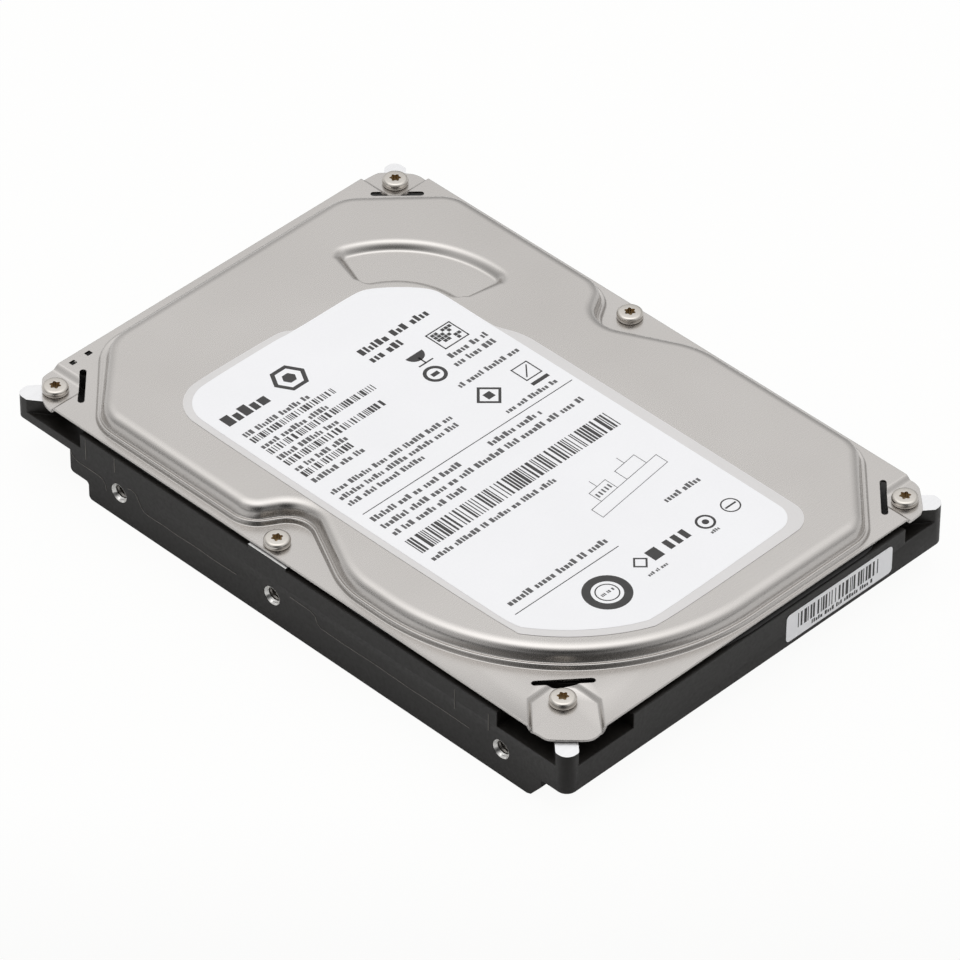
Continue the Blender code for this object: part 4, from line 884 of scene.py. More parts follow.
def base_casting():
    base = plate([filleted([(-HALF_X, FRONT_Y, FRONT_R), (HALF_X, FRONT_Y, FRONT_R),
                            (HALF_X, HALF_Y, REAR_R), (-HALF_X, HALF_Y, REAR_R)], 12)],
                 FLOOR_BOTTOM, WALL_TOP)
    for side, _ in SIDES:
        rail = plate([filleted(RAIL, 5)], *sorted((side * HALF_X, side * RAIL_INNER_X)))
        base = join(base, turn_axes(rail, (0, 0, 1, 0), (1, 0, 0, 0), (0, 1, 0, 0)))
    base = cut(base, plate([offset_line(STEP_COARSE, 0.3)], FLOOR_TOP, 30.0))
    base = join(base, box(-40.0, 40.0, REAR_STEP_Y, 70.6, 6.6, REAR_FLOOR_TOP))
    base = cut(base, box(-42.0, 42.0, 66.4, 80.0, 0.0, CONNECTOR_UNDER))
    for side, _ in SIDES:
        under = [(60, 58.5), (46.6, 58.5), (42.0, 63.1), (42.0, 80.0), (60, 80.0)]
        base = cut(base, plate([[(side * x, y) for x, y in under]], 0.0, CORNER_UNDER))
    for row in POCKETS:
        base = cut(base, pocket(*row))
    # half-round pads under the two middle cover screws
    for side, side_name in SIDES:
        outline = [(side * x, y) for x, y in ((HALF_X, -0.4), (HALF_X, 9.6), (48.0, 9.6),
                                              (48.0, -0.4))]
        pad_round = cylinder(COVER_SCREWS["mid_" + side_name], 3.1, 12.0, PAD_TOP)
        base = join(base, join(plate([outline], 12.0, PAD_TOP), pad_round))
    # motor bore
    base = cut(base, cylinder(SPINDLE, 13.3, 0.0, 12.0, 96))
    # board standoffs
    for centre in PCB_SCREWS:
        base = join(base, cylinder(centre, 2.8, 2.7, 6.4, 32))
        base = cut(base, cylinder(centre, 1.3, 0.0, 5.6, 24))
    for centre in COVER_SCREWS.values():
        bottom = 8.8 if abs(centre[1]) < 60 else 10.0
        base = cut(base, cylinder(centre, 1.6, bottom, 30.0, 32))
    base = cut(base, cylinder(FLEX_SCREW, 1.2, 6.2, 12.0, 24))
    for side, _ in SIDES:
        x0, x1 = sorted((side * 60, side * 45.4))
        for y in SIDE_HOLES_Y:
            base = cut(base, cylinder((y, SIDE_HOLE_Z), HOLE_R, x0, x1, along_x=True))
        for y in BOTTOM_HOLES_Y:
            base = cut(base, cylinder((side * BOTTOM_HOLE_X, y), HOLE_R, -2.0, 3.6))
    return base


def base_pick(centre, normal):
    """Bare metal on the post tops, milled metal on the pads."""
    if normal.z > 0.9:
        if abs(centre.z - POST_TOP) < 0.05 and abs(centre.y) > 60:
            return 1
        if abs(centre.z - PAD_TOP) < 0.05:
            return 2
    return 0


put(base_casting(), [CASTING, BARE, LEDGE], "base_casting", sharp=30, pick=base_pick)


def thread_sleeve(depth):
    """Threaded insert with its mouth at z = 0, running down to -depth."""
    sides, pitch = 40, 0.794
    outer = HOLE_R - 0.012
    rings = [lift(circle(ORIGIN, radius, sides), z)
             for radius, z in ((outer, -depth), (outer, -0.03), (outer - 0.05, 0.0))]
    steps = int(depth / pitch * 10)
    for i in range(steps + 1):
        z = -0.38 - (depth - 0.45) * i / steps
        ring = []
        for j in range(sides):
            wave = abs(2 * ((z / pitch + j / sides) % 1.0) - 1)
            radius = 1.42 + 0.26 * min(1.0, wave * 1.25)
            ring.append((*polar(ORIGIN, radius, 360 * j / sides), z))
        rings.append(ring)
    rings.append(lift(circle(ORIGIN, 1.5, sides), -depth))
    return grid_tube(rings, joined=True)


# Thread faces past the first millimetre of a hole take the darker copy, which is painted shade
# down the hole. The mouth keeps the bright cut thread.
def put_thread(name, depth, at, turn, in_painted_shade):
    sleeve = thread_sleeve(depth)
    sleeve.data.transform(Matrix.Translation(at) @ turn)
    extra(sleeve, [THREAD, THREAD_PAINTED_SHADE], name, "steel", sharp=40,
          pick=lambda centre, normal: 1 if in_painted_shade(centre) else 0)


# The two lambdas mark the faces more than 1 mm into each hole for the painted shade.
for side, side_name in SIDES:
    for k, y in enumerate(SIDE_HOLES_Y):
        put_thread("side_thread_%s_%d" % (side_name, k + 1), 4.6,
                   at=(side * (HALF_X - 0.02), y, SIDE_HOLE_Z),
                   turn=Matrix.Rotation(math.radians(90 * side), 4, "Y"),
                   in_painted_shade=lambda centre: HALF_X - abs(centre.x) > 1.0)
    for k, y in enumerate(BOTTOM_HOLES_Y):
        put_thread("bottom_thread_%s_%d" % (side_name, k + 1), 3.4,
                   at=(side * BOTTOM_HOLE_X, y, 0.02), turn=Matrix.Rotation(math.pi, 4, "X"),
                   in_painted_shade=lambda centre: centre.z > 1.0)

# Parting lines of the casting on the two long sides: y, z.
FLASH = [
    [(58.3, 9.1), (57.9, 8.2), (57.0, 7.6), (55.6, 7.4), (50.6, 7.4), (49.4, 7.1), (48.7, 6.2),
     (48.5, 5.0)],
    [(42.4, 9.0), (41.3, 9.3), (40.4, 9.0), (39.6, 7.9), (38.9, 6.6), (38.0, 5.8), (36.4, 5.6),
     (33.0, 5.75), (29.0, 5.6), (24.0, 5.8), (19.0, 5.6), (13.0, 5.75)],
    [(-1.6, 9.1), (-7.0, 9.0), (-8.2, 8.4), (-8.8, 7.0), (-9.8, 6.4), (-16.0, 6.3),
     (-24.0, 6.5), (-33.0, 6.3), (-41.0, 6.5), (-48.5, 6.4)],
    [(54.0, 9.4), (54.0, 14.2)], [(46.0, 11.0), (46.0, 14.2)],
    [(-44.7, 8.8), (-44.7, 13.4)], [(-53.4, 9.0), (-53.4, 13.0)],
]
for side, side_name in SIDES:
    flash = Slabs()
    for points in FLASH:
        flash.line(points, 0.16, -0.05, 0.05)
    extra(turn_axes(flash.done(), (0, 0, side, side * HALF_X), (1, 0, 0, 0), (0, 1, 0, 0)),
          CASTLINE, "casting_line_" + side_name, "coated_casting")

# ---------------------------------------------------------------- cover pressing
TAB_SLOPE = 1.1
# Lowered corner tabs by (side, end): |x| and |y| of the bend, |x| + |y| of the slot edge,
# bend width in x and in y.
TAB_BENDS = {(-1, 1): (40.2, 63.25, 106.3, 1.65, 1.1), (1, 1): (40.6, 63.3, 106.7, 1.1, 1.1),
             (1, -1): (40.6, 63.75, 107.6, 1.1, 1.35)}
# The front left tab is a polygon: x, y.
FRONT_LEFT_TAB = [(-44.8, -58.6), (-56.0, -70.3), (-56.0, -82.0), (-49.5, -82.0),
                  (-36.6, -67.0), (-36.6, -61.4), (-38.9, -58.6)]
SLOT_R = 0.66
# Slots beside the tabs: centres of the two ends.
SLOTS = {"rear_left": ((-38.7, 67.55), (-44.9, 61.45)), "rear_right": ((39.1, 67.5), (45.7, 61.1)),
         "front_right": ((45.33, -62.31), (39.11, -68.44)),
         "front_left": ((-41.3, -55.8), (-33.3, -62.6))}
# The step's rings from flange to field: inset, extra inset at the rear, z.
RISE = [
    (-0.2, 0.0, FLANGE_TOP), (-0.13, 0.0, FLANGE_TOP + 0.04), (-0.07, 0.0, 16.17),
    (0.0, 0.0, 16.45), (0.07, 0.0, 16.75), (0.15, 0.02, 16.95), (0.26, 0.08, 17.04),
    (0.42, 0.2, 17.03), (0.62, 0.4, 16.96), (0.82, 0.7, 16.94), (0.92, 0.8, 17.03),
    (0.99, 0.8, 17.25), (1.05, 0.8, 17.6), (1.13, 0.8, 18.05), (1.22, 0.8, 18.42),
    (1.34, 0.8, 18.76), (1.5, 0.8, 19.05), (1.7, 0.8, 19.3), (1.95, 0.8, 19.5),
    (2.2, 0.8, 19.63), (2.5, 0.8, 19.73), (2.85, 0.8, 19.8), (3.2, 0.8, 19.845),
    (3.5, 0.8, FIELD_TOP), (3.75, 0.8, FIELD_TOP),
]
# The sector-shaped recess, from its rim down: inset, drop below the field.
RECESS_STEPS = [(-0.95, 0.0), (-0.7, 0.0), (-0.42, 0.02), (-0.18, 0.07), (0.07, 0.17),
                (0.33, 0.33), (0.57, 0.54), (0.8, 0.81), (1.0, 1.07), (1.2, 1.3), (1.4, 1.44),
                (1.62, 1.5), (1.9, 1.5)]


def tab_outline(side, end):
    bend_x, bend_y, _, wide_x, wide_y = TAB_BENDS[(side, end)]
    trim = 0.3 if side < 0 else 0.0
    points = [(COVER_X, bend_y), (50.2, bend_y + wide_y), (50.3 - trim, 65.7),
              (49.95 - trim, 67.2 - trim), (49.3 - trim, 68.2 - trim),
              (45.9 - trim, 72.0 - trim), (44.9 - trim, 72.65), (bend_x + wide_x, 72.8),
              (bend_x, COVER_Y)]
    points = chaikin([(side * x, end * y) for x, y in points], 3, closed=False)
    return points if side * end > 0 else points[::-1]


def half_planes(outline):
    """Outward normal and reach of each edge of an anticlockwise outline."""
    planes = []
    for (x0, y0), (x1, y1) in closed_pairs(outline):
        length = math.hypot(x1 - x0, y1 - y0)
        nx, ny = (y1 - y0) / length, -(x1 - x0) / length
        planes.append((nx, ny, nx * x0 + ny * y0))
    return planes


FRONT_LEFT_PLANES = half_planes(FRONT_LEFT_TAB)


def flange_z(x, y):
    """Height of the flange, which drops to the tabs at the corners."""
    if x < 0 and y < 0:
        outside = max(nx * x + ny * y - reach for nx, ny, reach in FRONT_LEFT_PLANES)
        (x0, y0), (x1, y1) = SLOTS["front_left"]
        past_slot = ((x - x0) * (y1 - y0) - (y - y0) * (x1 - x0)) / math.hypot(x1 - x0, y1 - y0)
        drop = min(1.0 - max(0.0, outside) / TAB_SLOPE, past_slot / SLOT_R)
    else:
        corner = (1 if x > 0 else -1, 1 if y > 0 else -1)
        bend_x, bend_y, slot, wide_x, wide_y = TAB_BENDS[corner]
        past_slot = (abs(x) + abs(y) - slot) * math.sqrt(0.5)
        drop = min((abs(x) - bend_x) / wide_x, (abs(y) - bend_y) / wide_y, past_slot / SLOT_R)
    return FLANGE_TOP + (TAB_TOP - FLANGE_TOP) * smooth(drop)


def mitred(outline, out):
    """The outline moved outward with sharp corners."""
    planes = half_planes(outline)
    points = []
    for i in range(len(outline)):
        (ax, ay, reach_a), (bx, by, reach_b) = planes[i - 1], planes[i]
        det = ax * by - ay * bx
        points.append((((reach_a + out) * by - (reach_b + out) * ay) / det,
                       (ax * (reach_b + out) - bx * (reach_a + out)) / det))
    return points


def inside(point, outline):
    x, y = point
    hit = False
    for (x0, y0), (x1, y1) in closed_pairs(outline):
        if (y0 > y) != (y1 > y) and x < (x1 - x0) * (y - y0) / (y1 - y0) + x0:
            hit = not hit
    return hit


def recess_line(inset):
    trim = math.degrees(inset / 24)
    return sector(RECESS_C, RECESS_R0 + inset, RECESS_R1 - inset, RECESS_A0 + trim,
                  RECESS_A1 - trim, 30, max(0.9, 2.6 - inset), 8)


def sheet(outline, holes, rings, lines):
    """Pressed sheet: rings are (outline, z or None for the flange height), lines are bends."""
    points, edges, heights = [], [], []

    def trace(line, z=None, closed=True):
        start = len(points)
        points.extend(Vector(p) for p in line)
        heights.extend([z] * len(line))
        edges.extend((start + i, start + i + 1) for i in range(len(line) - 1))
        if closed:
            edges.append((start + len(line) - 1, start))

    trace(outline)
    for hole in holes:
        trace(hole)
    for line, z in rings:
        trace(line, z)
    for line in lines:
        trace(line, closed=False)
    flat, _, faces, origins, _, _ = delaunay_2d_cdt(points, edges, [], 0, 1e-5)
    shape = bmesh.new()
    verts = []
    for point, sources in zip(flat, origins):
        known = [heights[i] for i in sources if heights[i] is not None]
        z = known[0] if known else flange_z(point.x, point.y)
        verts.append(shape.verts.new((point.x, point.y, z)))
    for face in faces:
        middle = sum((flat[i] for i in face), Vector((0, 0))) / len(face)
        if inside(middle, outline) and not any(inside(middle, hole) for hole in holes):
            shape.faces.new([verts[i] for i in face])
    loose = [vert for vert in shape.verts if not vert.link_faces]
    bmesh.ops.delete(shape, geom=loose, context="VERTS")
    for face in shape.faces:
        face.normal_update()
        if face.normal.z < 0:
            face.normal_flip()
    piece = add_bmesh(shape)
    solid = piece.modifiers.new("thickness", "SOLIDIFY")
    solid.thickness = SHEET
    solid.offset = -1.0
    solid.use_even_offset = False
    return bake(piece)


def top_cover():
    outline = tab_outline(1, 1) + tab_outline(-1, 1)
    outline += chaikin([(-COVER_X, -63.6), (-49.95, -65.2), (-49.9, -66.7), (-49.45, -67.8),
                        (-45.0, -72.4), (-43.9, -73.0), (-42.8, -73.1), (-41.6, -72.95),
                        (-40.3, -COVER_Y)], 3, closed=False)
    outline += tab_outline(1, -1)
    holes = [circle(centre, 1.6) for centre in COVER_SCREWS.values()]
    holes += [taper(start, SLOT_R, end, SLOT_R, 10) for start, end in SLOTS.values()]
    # two small square holes at the rear edge
    for x in (-38.2, -34.2):
        holes.append(filleted([(x - 0.66, 70.33, 0.12), (x + 0.66, 70.33, 0.12),
                               (x + 0.66, 71.45, 0.12), (x - 0.66, 71.45, 0.12)], 3))
    rings = [(offset_line(STEP_FINE, inset, rear), z) for inset, rear, z in RISE]
    rings += [(offset_line(STEP_FINE, inset), None) for inset in (-1.0, -0.5, -0.3)]
    rings += [(recess_line(inset), FIELD_TOP - drop) for inset, drop in RECESS_STEPS]
    lines = []
    for (side, end), (bend_x, bend_y, _, wide_x, wide_y) in TAB_BENDS.items():
        for part in (-0.12, 0.0, 0.2, 0.4, 0.6, 0.8, 1.0, 1.15):
            x, y = bend_x + part * wide_x, bend_y + part * wide_y
            lines.append([(side * x, end * 80.0), (side * x, end * y), (side * 60.0, end * y)])
    lines.append(FRONT_LEFT_TAB + FRONT_LEFT_TAB[:1])
    for part in (0.2, 0.4, 0.6, 0.8, 1.0):
        line = mitred(FRONT_LEFT_TAB, TAB_SLOPE * part)
        lines.append(line + line[:1])
    return sheet(outline, holes, rings, lines)


put(top_cover(), COVER, "top_cover", sharp=46)
put(plate([offset_line(STEP_FINE, -1.25), offset_line(STEP_FINE, -0.25)],
          WALL_TOP + 0.15, FLANGE_TOP - SHEET - 0.4), RUBBER, "cover_gasket")


# ---------------------------------------------------------------- screws
def pan_screw(shank_r, shank, head_r, head, socket, sides):
    """Pan head on z = 0 with a six-lobed socket, shank below."""
    profile = [(0.0, head - 0.01), (head_r * 0.76, head), (head_r * 0.83, head - 0.025),
               (head_r * 0.90, head - 0.10), (head_r * 0.955, head - 0.24),
               (head_r * 0.985, head - 0.40), (head_r, head - 0.55), (head_r, 0.16),
               (head_r * 0.985, 0.06), (head_r * 0.95, 0.0), (shank_r, 0.0)]
    pitch, z = 0.6, -0.3
    while z > -shank + 0.7:
        profile += [(shank_r * 0.84, z), (shank_r, z - pitch / 2)]
        z -= pitch
    profile += [(shank_r * 0.8, -shank + 0.25), (shank_r * 0.6, -shank), (0.0, -shank)]
    lobes = [polar(ORIGIN, socket * (0.86 + 0.14 * math.cos(math.radians(6 * angle))), angle)
             for angle in range(0, 360, 6)]
    return cut(turned(profile, ORIGIN, sides), plate([lobes], head - 0.9, head + 1.0))


def put_screws(places, shank_r, shank, head_r, head, socket, sides, dark_r, flip=False):
    """One kind of screw at (node, (x, y, z), spin); faces within dark_r are socket."""
    pattern = pan_screw(shank_r, shank, head_r, head, socket, sides)
    for node, at, spin in places:
        mesh = pattern.data.copy()
        indices = []
        for face in mesh.polygons:
            x, y, z = face.center
            in_socket = math.hypot(x, y) < dark_r and head - 1.0 < z < head - 0.06
            indices.append(1 if in_socket else 0)
        place = Matrix.Translation(at) @ Matrix.Rotation(math.radians(spin), 4, "Z")
        if flip:
            place = place @ Matrix.Rotation(math.pi, 4, "X")
        mesh.transform(place)
        put(add(mesh), [NICKEL, SOCKET], node, sharp=38)
        for face, index in zip(mesh.polygons, indices):
            face.material_index = index
    bpy.data.objects.remove(pattern)


cover_places = []
for i, (corner_name, (x, y)) in enumerate(COVER_SCREWS.items()):
    seat = FLANGE_TOP if corner_name.startswith("mid") else TAB_TOP
    cover_places.append(("cover_screw_" + corner_name, (x, y, seat + 0.08), 17.0 * i))
put_screws(cover_places, shank_r=1.3, shank=4.6, head_r=2.6, head=1.35, socket=1.15, sides=64,
           dark_r=1.22)
put_screws([("pcb_screw_%d" % (i + 1), (x, y, 1.3), 23.0 * i)
            for i, (x, y) in enumerate(PCB_SCREWS)],
           shank_r=1.0, shank=3.4, head_r=2.6, head=0.9, socket=0.75, sides=48,
           dark_r=0.8, flip=True)
put_screws([("disc_clamp_screw", (*SPINDLE, 15.5), 10.0)],
           shank_r=1.0, shank=3.6, head_r=2.9, head=1.5, socket=0.9, sides=64, dark_r=1.0)
put_screws([("flex_bracket_screw", (*FLEX_SCREW, 12.3), 5.0)],
           shank_r=0.9, shank=5.4, head_r=2.1, head=1.2, socket=0.7, sides=48, dark_r=0.75)

# ---------------------------------------------------------------- top label
# Border film outline before corner cutting: x, y.
FILM_OUTLINE = (
    [(-37.5, 37.6), (-36.85, 41.05), (-34.9, 44.05), (-31.95, 46.0), (-28.5, 46.7), (-8.4, 46.3),
     (-6.4, 45.8), (-5.4, 44.9), (-4.2, 44.5), (10.5, 44.5), (13.0, 44.1), (15.0, 43.0),
     (18.2, 40.4), (21.2, 37.2), (22.8, 34.6), (23.2, 32.2), (23.1, 19.4), (23.6, 17.4),
     (24.8, 14.6), (25.4, 12.0), (25.6, 9.5)]
    + arc((19.9, -57.9), 5.7, 0, -90, 5) + [(-16.4, -63.9)]
    + arc(SPINDLE, 44.1, 247.6, 211.8, 9)[1:]
)
# White print area before corner cutting: x, y.
PRINT_OUTLINE = (
    [(-36.0, 37.0), (-35.45, 40.1), (-33.7, 42.75), (-31.1, 44.45), (-28.0, 45.0), (-9.0, 44.9),
     (-6.5, 44.5), (10.4, 44.4), (12.9, 44.0), (14.9, 42.9), (18.1, 40.3), (21.1, 37.1),
     (22.7, 34.5), (23.1, 32.1), (23.0, 19.4), (23.1, 10.0), (23.1, -2.0)]
    + arc((18.2, -56.2), 5.0, 0, -90, 5) + [(-16.0, -61.9)]
    + arc(SPINDLE, 42.3, 247.2, 212.0, 9)[1:] + [(-36.0, -36.0)]
)
PRINT_Z = FIELD_TOP + 0.075
MARKS_SHIFT = (-2.5, -2.47)
MARGIN_X = -31.0
put(plate([chaikin(FILM_OUTLINE)[::-1]], FIELD_TOP + 0.02, FIELD_TOP + 0.07), FILM, "top_label")
extra(plate([chaikin(PRINT_OUTLINE)[::-1]], PRINT_Z, PRINT_Z + 0.035), LABEL,
      "top_label_print_area", "label_film", body="cover")

ink, soft = (Marks(PRINT_Z + 0.040, PRINT_Z + 0.050, MARKS_SHIFT) for _ in range(2))
# heading and a plain hexagon emblem
ink.text(MARGIN_X, -18.2, 36.4, 3.0, bold=True)
ink.hoop(-13.0, 37.4, 3.9, 1.0, sides=6)
ink.disc(-13.0, 37.4, 1.5, sides=6)
# text over bars: text end x, text y, bars end x, bars bottom and top
for text_x, text_y, bars_x, y0, y1 in ((-14.0, 31.0, -9.5, 28.0, 29.7),
                                       (-13.0, 26.3, -3.0, 23.4, 25.2),
                                       (-15.0, 21.8, -5.0, 18.8, 20.6),
                                       (-17.0, 17.2, -18.0, 14.2, 16.0)):
    soft.text(MARGIN_X, text_x, text_y, 1.35)
    ink.bars(MARGIN_X, bars_x, y0, y1)
soft.text(MARGIN_X, -17.5, 12.5, 1.35)
ink.text(1.5, 20.0, 33.1, 1.9)
ink.text(1.5, 10.0, 30.2, 1.9)
# icons: a half disc on a stem, a framed block pattern, rings
ink.poly(arc(ink.at(8.6, 25.7), 2.2, 180, 360, 15), *ink.heights)
ink.stroke([(8.6, 24.2), (8.6, 22.4)], 0.35)
ink.stroke([(6.9, 22.3), (10.3, 22.3)], 0.35)
ink.frame(14.2, 20.4, 22.6, 28.0, 0.3)
for row in range(5):
    for column in range(6):
        if random.random() < 0.62:
            x, y = 14.7 + column * 0.9, 23.1 + row * 0.9
            ink.block(x, x + 0.78, y, y + 0.78)
ink.hoop(7.5, 18.7, 2.4, 0.75)
ink.block(6.6, 8.4, 18.2, 19.2)
soft.text(13.0, 23.0, 20.5, 1.5)
soft.text(12.0, 23.4, 18.0, 1.5)
soft.text(8.0, 24.0, 12.9, 1.35)
ink.hoop(10.2, 7.0, 3.3, 0.8, sides=4)
ink.block(9.3, 11.1, 6.1, 7.9)
ink.frame(18.4, 22.4, 5.0, 9.2, 0.28)
ink.stroke([(19.2, 5.8), (21.6, 8.4)], 0.28)
ink.block(18.2, 22.6, 3.0, 3.9)
for end_x, y in ((0.5, 7.6), (0.5, 5.3), (-10.0, 3.0)):
    soft.text(MARGIN_X, end_x, y, 1.3)
soft.text(9.0, 23.0, 1.2, 1.2)
ink.stroke([(MARGIN_X, -0.9), (24.5, -0.9)], 0.2)
for end_x, y in ((-8.0, -3.2), (23.0, -6.0), (-12.0, -8.8)):
    soft.text(MARGIN_X, end_x, y, 1.45)
soft.text(0.0, 14.0, -3.2, 1.45)
ink.bars(MARGIN_X, 21.8, -16.6, -11.8, 0.25)
soft.text(MARGIN_X, 2.0, -19.0, 1.3)
# plain line sketch of a plug beside a block
for points in ([(0.0, -33.0), (20.0, -30.4), (20.0, -27.4), (0.0, -30.0), (0.0, -33.0)],
               [(3.0, -29.6), (3.0, -26.4), (8.0, -25.7), (8.0, -28.9)],
               [(11.0, -28.5), (11.0, -25.3), (17.0, -24.5), (17.0, -27.7)],
               [(5.5, -26.0), (5.5, -24.0)], [(14.0, -24.9), (14.0, -22.9)]):
    soft.stroke(points, 0.14)
for i in range(5):
    soft.block(3.5 + i * 0.9, 3.9 + i * 0.9, -28.6 + i * 0.12, -27.4 + i * 0.12)
soft.text(-30.0, -4.0, -37.8, 1.5)
soft.text(11.5, 21.0, -37.8, 1.4)
ink.stroke([(MARGIN_X, -40.7), (-4.0, -40.7)], 0.2)
# round stamp, and a row of small icons
ink.hoop(-14.7, -48.3, 4.8, 1.7)
ink.hoop(-14.7, -48.3, 2.4, 0.25)
soft.text(-16.2, -13.0, -48.3, 0.7)
ink.hoop(-4.4, -46.8, 1.9, 0.55, sides=4)
ink.block(-2.0, 0.6, -48.4, -45.4)
for i in range(3):
    ink.block(2.4 + i * 2.1, 3.7 + i * 2.1, -48.2, -45.6)
ink.hoop(12.5, -47.3, 2.0, 0.5)
ink.disc(12.5, -47.3, 0.7)
ink.hoop(19.3, -47.3, 2.0, 0.3)
ink.block(17.9, 20.7, -47.5, -47.1)
soft.text(-6.0, -1.0, -50.4, 0.8)
soft.text(11.0, 14.0, -50.2, 0.8)
extra(ink.done(), INK, "top_label_dark_marks", "label_film", body="cover", sharp=30)
extra(soft.done(), GREY_INK, "top_label_fine_marks", "label_film", body="cover", sharp=30)

# ---------------------------------------------------------------- front label
# Drawn flat as (x, z), then stood up on the front face.
front_label = plate([filleted([(7.1, 6.4, 1.0), (36.0, 6.4, 1.0), (36.0, 12.9, 1.0),
                               (7.1, 12.9, 1.0)], 10)], HALF_Y - 0.06, HALF_Y)
put(turn_axes(front_label, (1, 0, 0, 0), (0, 0, -1, 0), (0, 1, 0, 0)), LABEL,
    "front_barcode_label")
front_marks = Marks(0.0, 0.012)
front_marks.bars(10.2, 33.0, 8.5, 12.0, 0.24)
front_marks.text(14.0, 31.0, 7.6, 0.95)
extra(turn_axes(front_marks.done(), (1, 0, 0, 0), (0, 0, -1, -HALF_Y - 0.004), (0, 1, 0, 0)),
      INK, "front_label_marks", "label_film", sharp=30)

# ---------------------------------------------------------------- motor, disc and clamp
# Profiles are (radius, z).
put(turned([(4.1, 3.9), (15.85, 3.9), (16.0, 4.05), (16.0, 5.1), (13.0, 5.1), (13.0, 7.5),
            (5.0, 7.5), (5.0, 10.1), (4.1, 10.1)], SPINDLE, 96, closed=True),
    ALU, "spindle_motor_base")
put(turned([(0.0, 4.0), (3.6, 4.0), (3.8, 4.2), (3.8, 10.5), (2.3, 10.5), (2.3, 4.6), (0.0, 4.6)],
           SPINDLE, 64), BUSH, "spindle_bearing_sleeve")
put(turned([(0.0, 11.4), (1.3, 11.4), (1.3, 14.3), (2.0, 14.3), (2.0, 5.2), (1.7, 4.9),
            (0.0, 4.9)], SPINDLE, 64), STEEL, "spindle_shaft")
teeth = []
for i in range(9):
    middle = 40.0 * i
    teeth += [polar(SPINDLE, 6.6, middle - 13), polar(SPINDLE, 8.6, middle - 9.5),
              polar(SPINDLE, 9.0, middle - 15)]
    teeth += arc(SPINDLE, 10.3, middle - 15, middle + 15, 6)
    teeth += [polar(SPINDLE, 9.0, middle + 15), polar(SPINDLE, 8.6, middle + 9.5),
              polar(SPINDLE, 6.6, middle + 13)]
put(plate([teeth, circle(SPINDLE, 5.3, 48)], 8.0, 10.1), STEEL, "stator_core")
put(turned([(2.3, 14.3), (11.6, 14.3), (12.0, 14.15), (12.2, 13.9), (12.2, 11.65), (15.1, 11.65),
            (15.2, 11.55), (15.2, 9.9), (13.6, 9.9), (13.6, 8.0), (12.3, 8.0), (12.3, 11.0),
            (2.3, 11.0)], SPINDLE, 96, closed=True), ALU, "spindle_hub")
put(turned([(10.8, 7.9), (12.0, 7.9), (12.0, 10.6), (10.8, 10.6)], SPINDLE, 96, closed=True),
    MAGNET, "rotor_magnet")
put(turned([(DISC_BORE_R, DISC_Z0 + 0.12), (DISC_BORE_R + 0.12, DISC_Z0),
            (DISC_R - 0.15, DISC_Z0), (DISC_R, DISC_Z0 + 0.15),
            (DISC_R, DISC_Z1 - 0.15), (DISC_R - 0.15, DISC_Z1),
            (DISC_BORE_R + 0.12, DISC_Z1), (DISC_BORE_R, DISC_Z1 - 0.12)],
           SPINDLE, 240, closed=True), DISC, "platter", sharp=20)
clamp = turned([(1.5, 15.4), (4.4, 15.4), (5.2, 15.6), (6.0, 15.85), (6.6, 15.9), (10.2, 15.9),
                (10.9, 15.82), (13.2, 15.05), (14.6, 14.68), (15.0, 14.45), (15.0, 13.7),
                (14.9, 13.6), (13.2, 13.6), (12.6, 14.4), (10.0, 14.7), (1.5, 14.7)],
               SPINDLE, 120, closed=True)
put(cut(clamp, *[cylinder(polar(SPINDLE, 8.4, 60 * i + 12), 0.9, 14.0, 17.0, 28)
                 for i in range(6)]), ALU, "disc_clamp")

# ---------------------------------------------------------------- voice coil motor
yoke = sector(PIVOT, 12.0, 32.4, VCM_DIR - 43.0, VCM_DIR + 42.0, 40, 2.0, 8)
put(plate([yoke], 7.9, 9.5), YOKE, "vcm_lower_yoke")
put(plate([yoke, circle(polar(PIVOT, 14.4, VCM_DIR), 1.1)], 15.7, 17.4), YOKE, "vcm_upper_yoke")
magnet = sector(PIVOT, 16.5, 28.5, VCM_DIR - 33.0, VCM_DIR + 32.5, 40, 1.2)
put(plate([magnet], 9.8, 11.0), MAGNET, "vcm_lower_magnet")
put(plate([magnet], 14.2, 15.4), MAGNET, "vcm_upper_magnet")
for i, angle in enumerate((8.0, 60.0)):
    put(cylinder(polar(PIVOT, 30.9, angle), 1.2, 9.8, 15.4, 36), STEEL, "vcm_spacer_%d" % (i + 1))

# ---------------------------------------------------------------- pivot, arm, coil, heads
put(turned([(0.0, 16.9), (1.6, 16.9), (2.0, 16.5), (2.0, 8.5), (3.4, 8.5), (3.4, 7.9),
            (0.0, 7.9)], PIVOT, 64), STEEL, "pivot_shaft")
for node, z0 in (("pivot_bearing_lower", 8.9), ("pivot_bearing_upper", 13.9)):
    put(turned([(2.3, z0 + 0.1), (2.4, z0), (4.1, z0), (4.2, z0 + 0.1), (4.2, z0 + 2.2),
                (4.1, z0 + 2.3), (3.55, z0 + 2.3), (3.5, z0 + 2.15), (3.0, z0 + 2.15),
                (2.95, z0 + 2.3), (2.4, z0 + 2.3), (2.3, z0 + 2.2)], PIVOT, 64, closed=True),
        STEEL, node)
put(turned([(4.5, 8.7), (5.7, 8.7), (5.7, 16.3), (5.6, 16.4), (4.6, 16.4), (4.5, 16.3)],
           PIVOT, 64, closed=True), STEEL, "pivot_sleeve")


def along(direction, reach, across=0.0):
    x, y = polar(PIVOT, reach, direction)
    angle = math.radians(direction)
    return (x - across * math.sin(angle), y + across * math.cos(angle))


def radial(direction, stations):
    """Symmetric outline along a direction from the pivot: (reach, half width) stations."""
    return ([along(direction, reach, -half) for reach, half in stations]
            + [along(direction, reach, half) for reach, half in stations[::-1]])


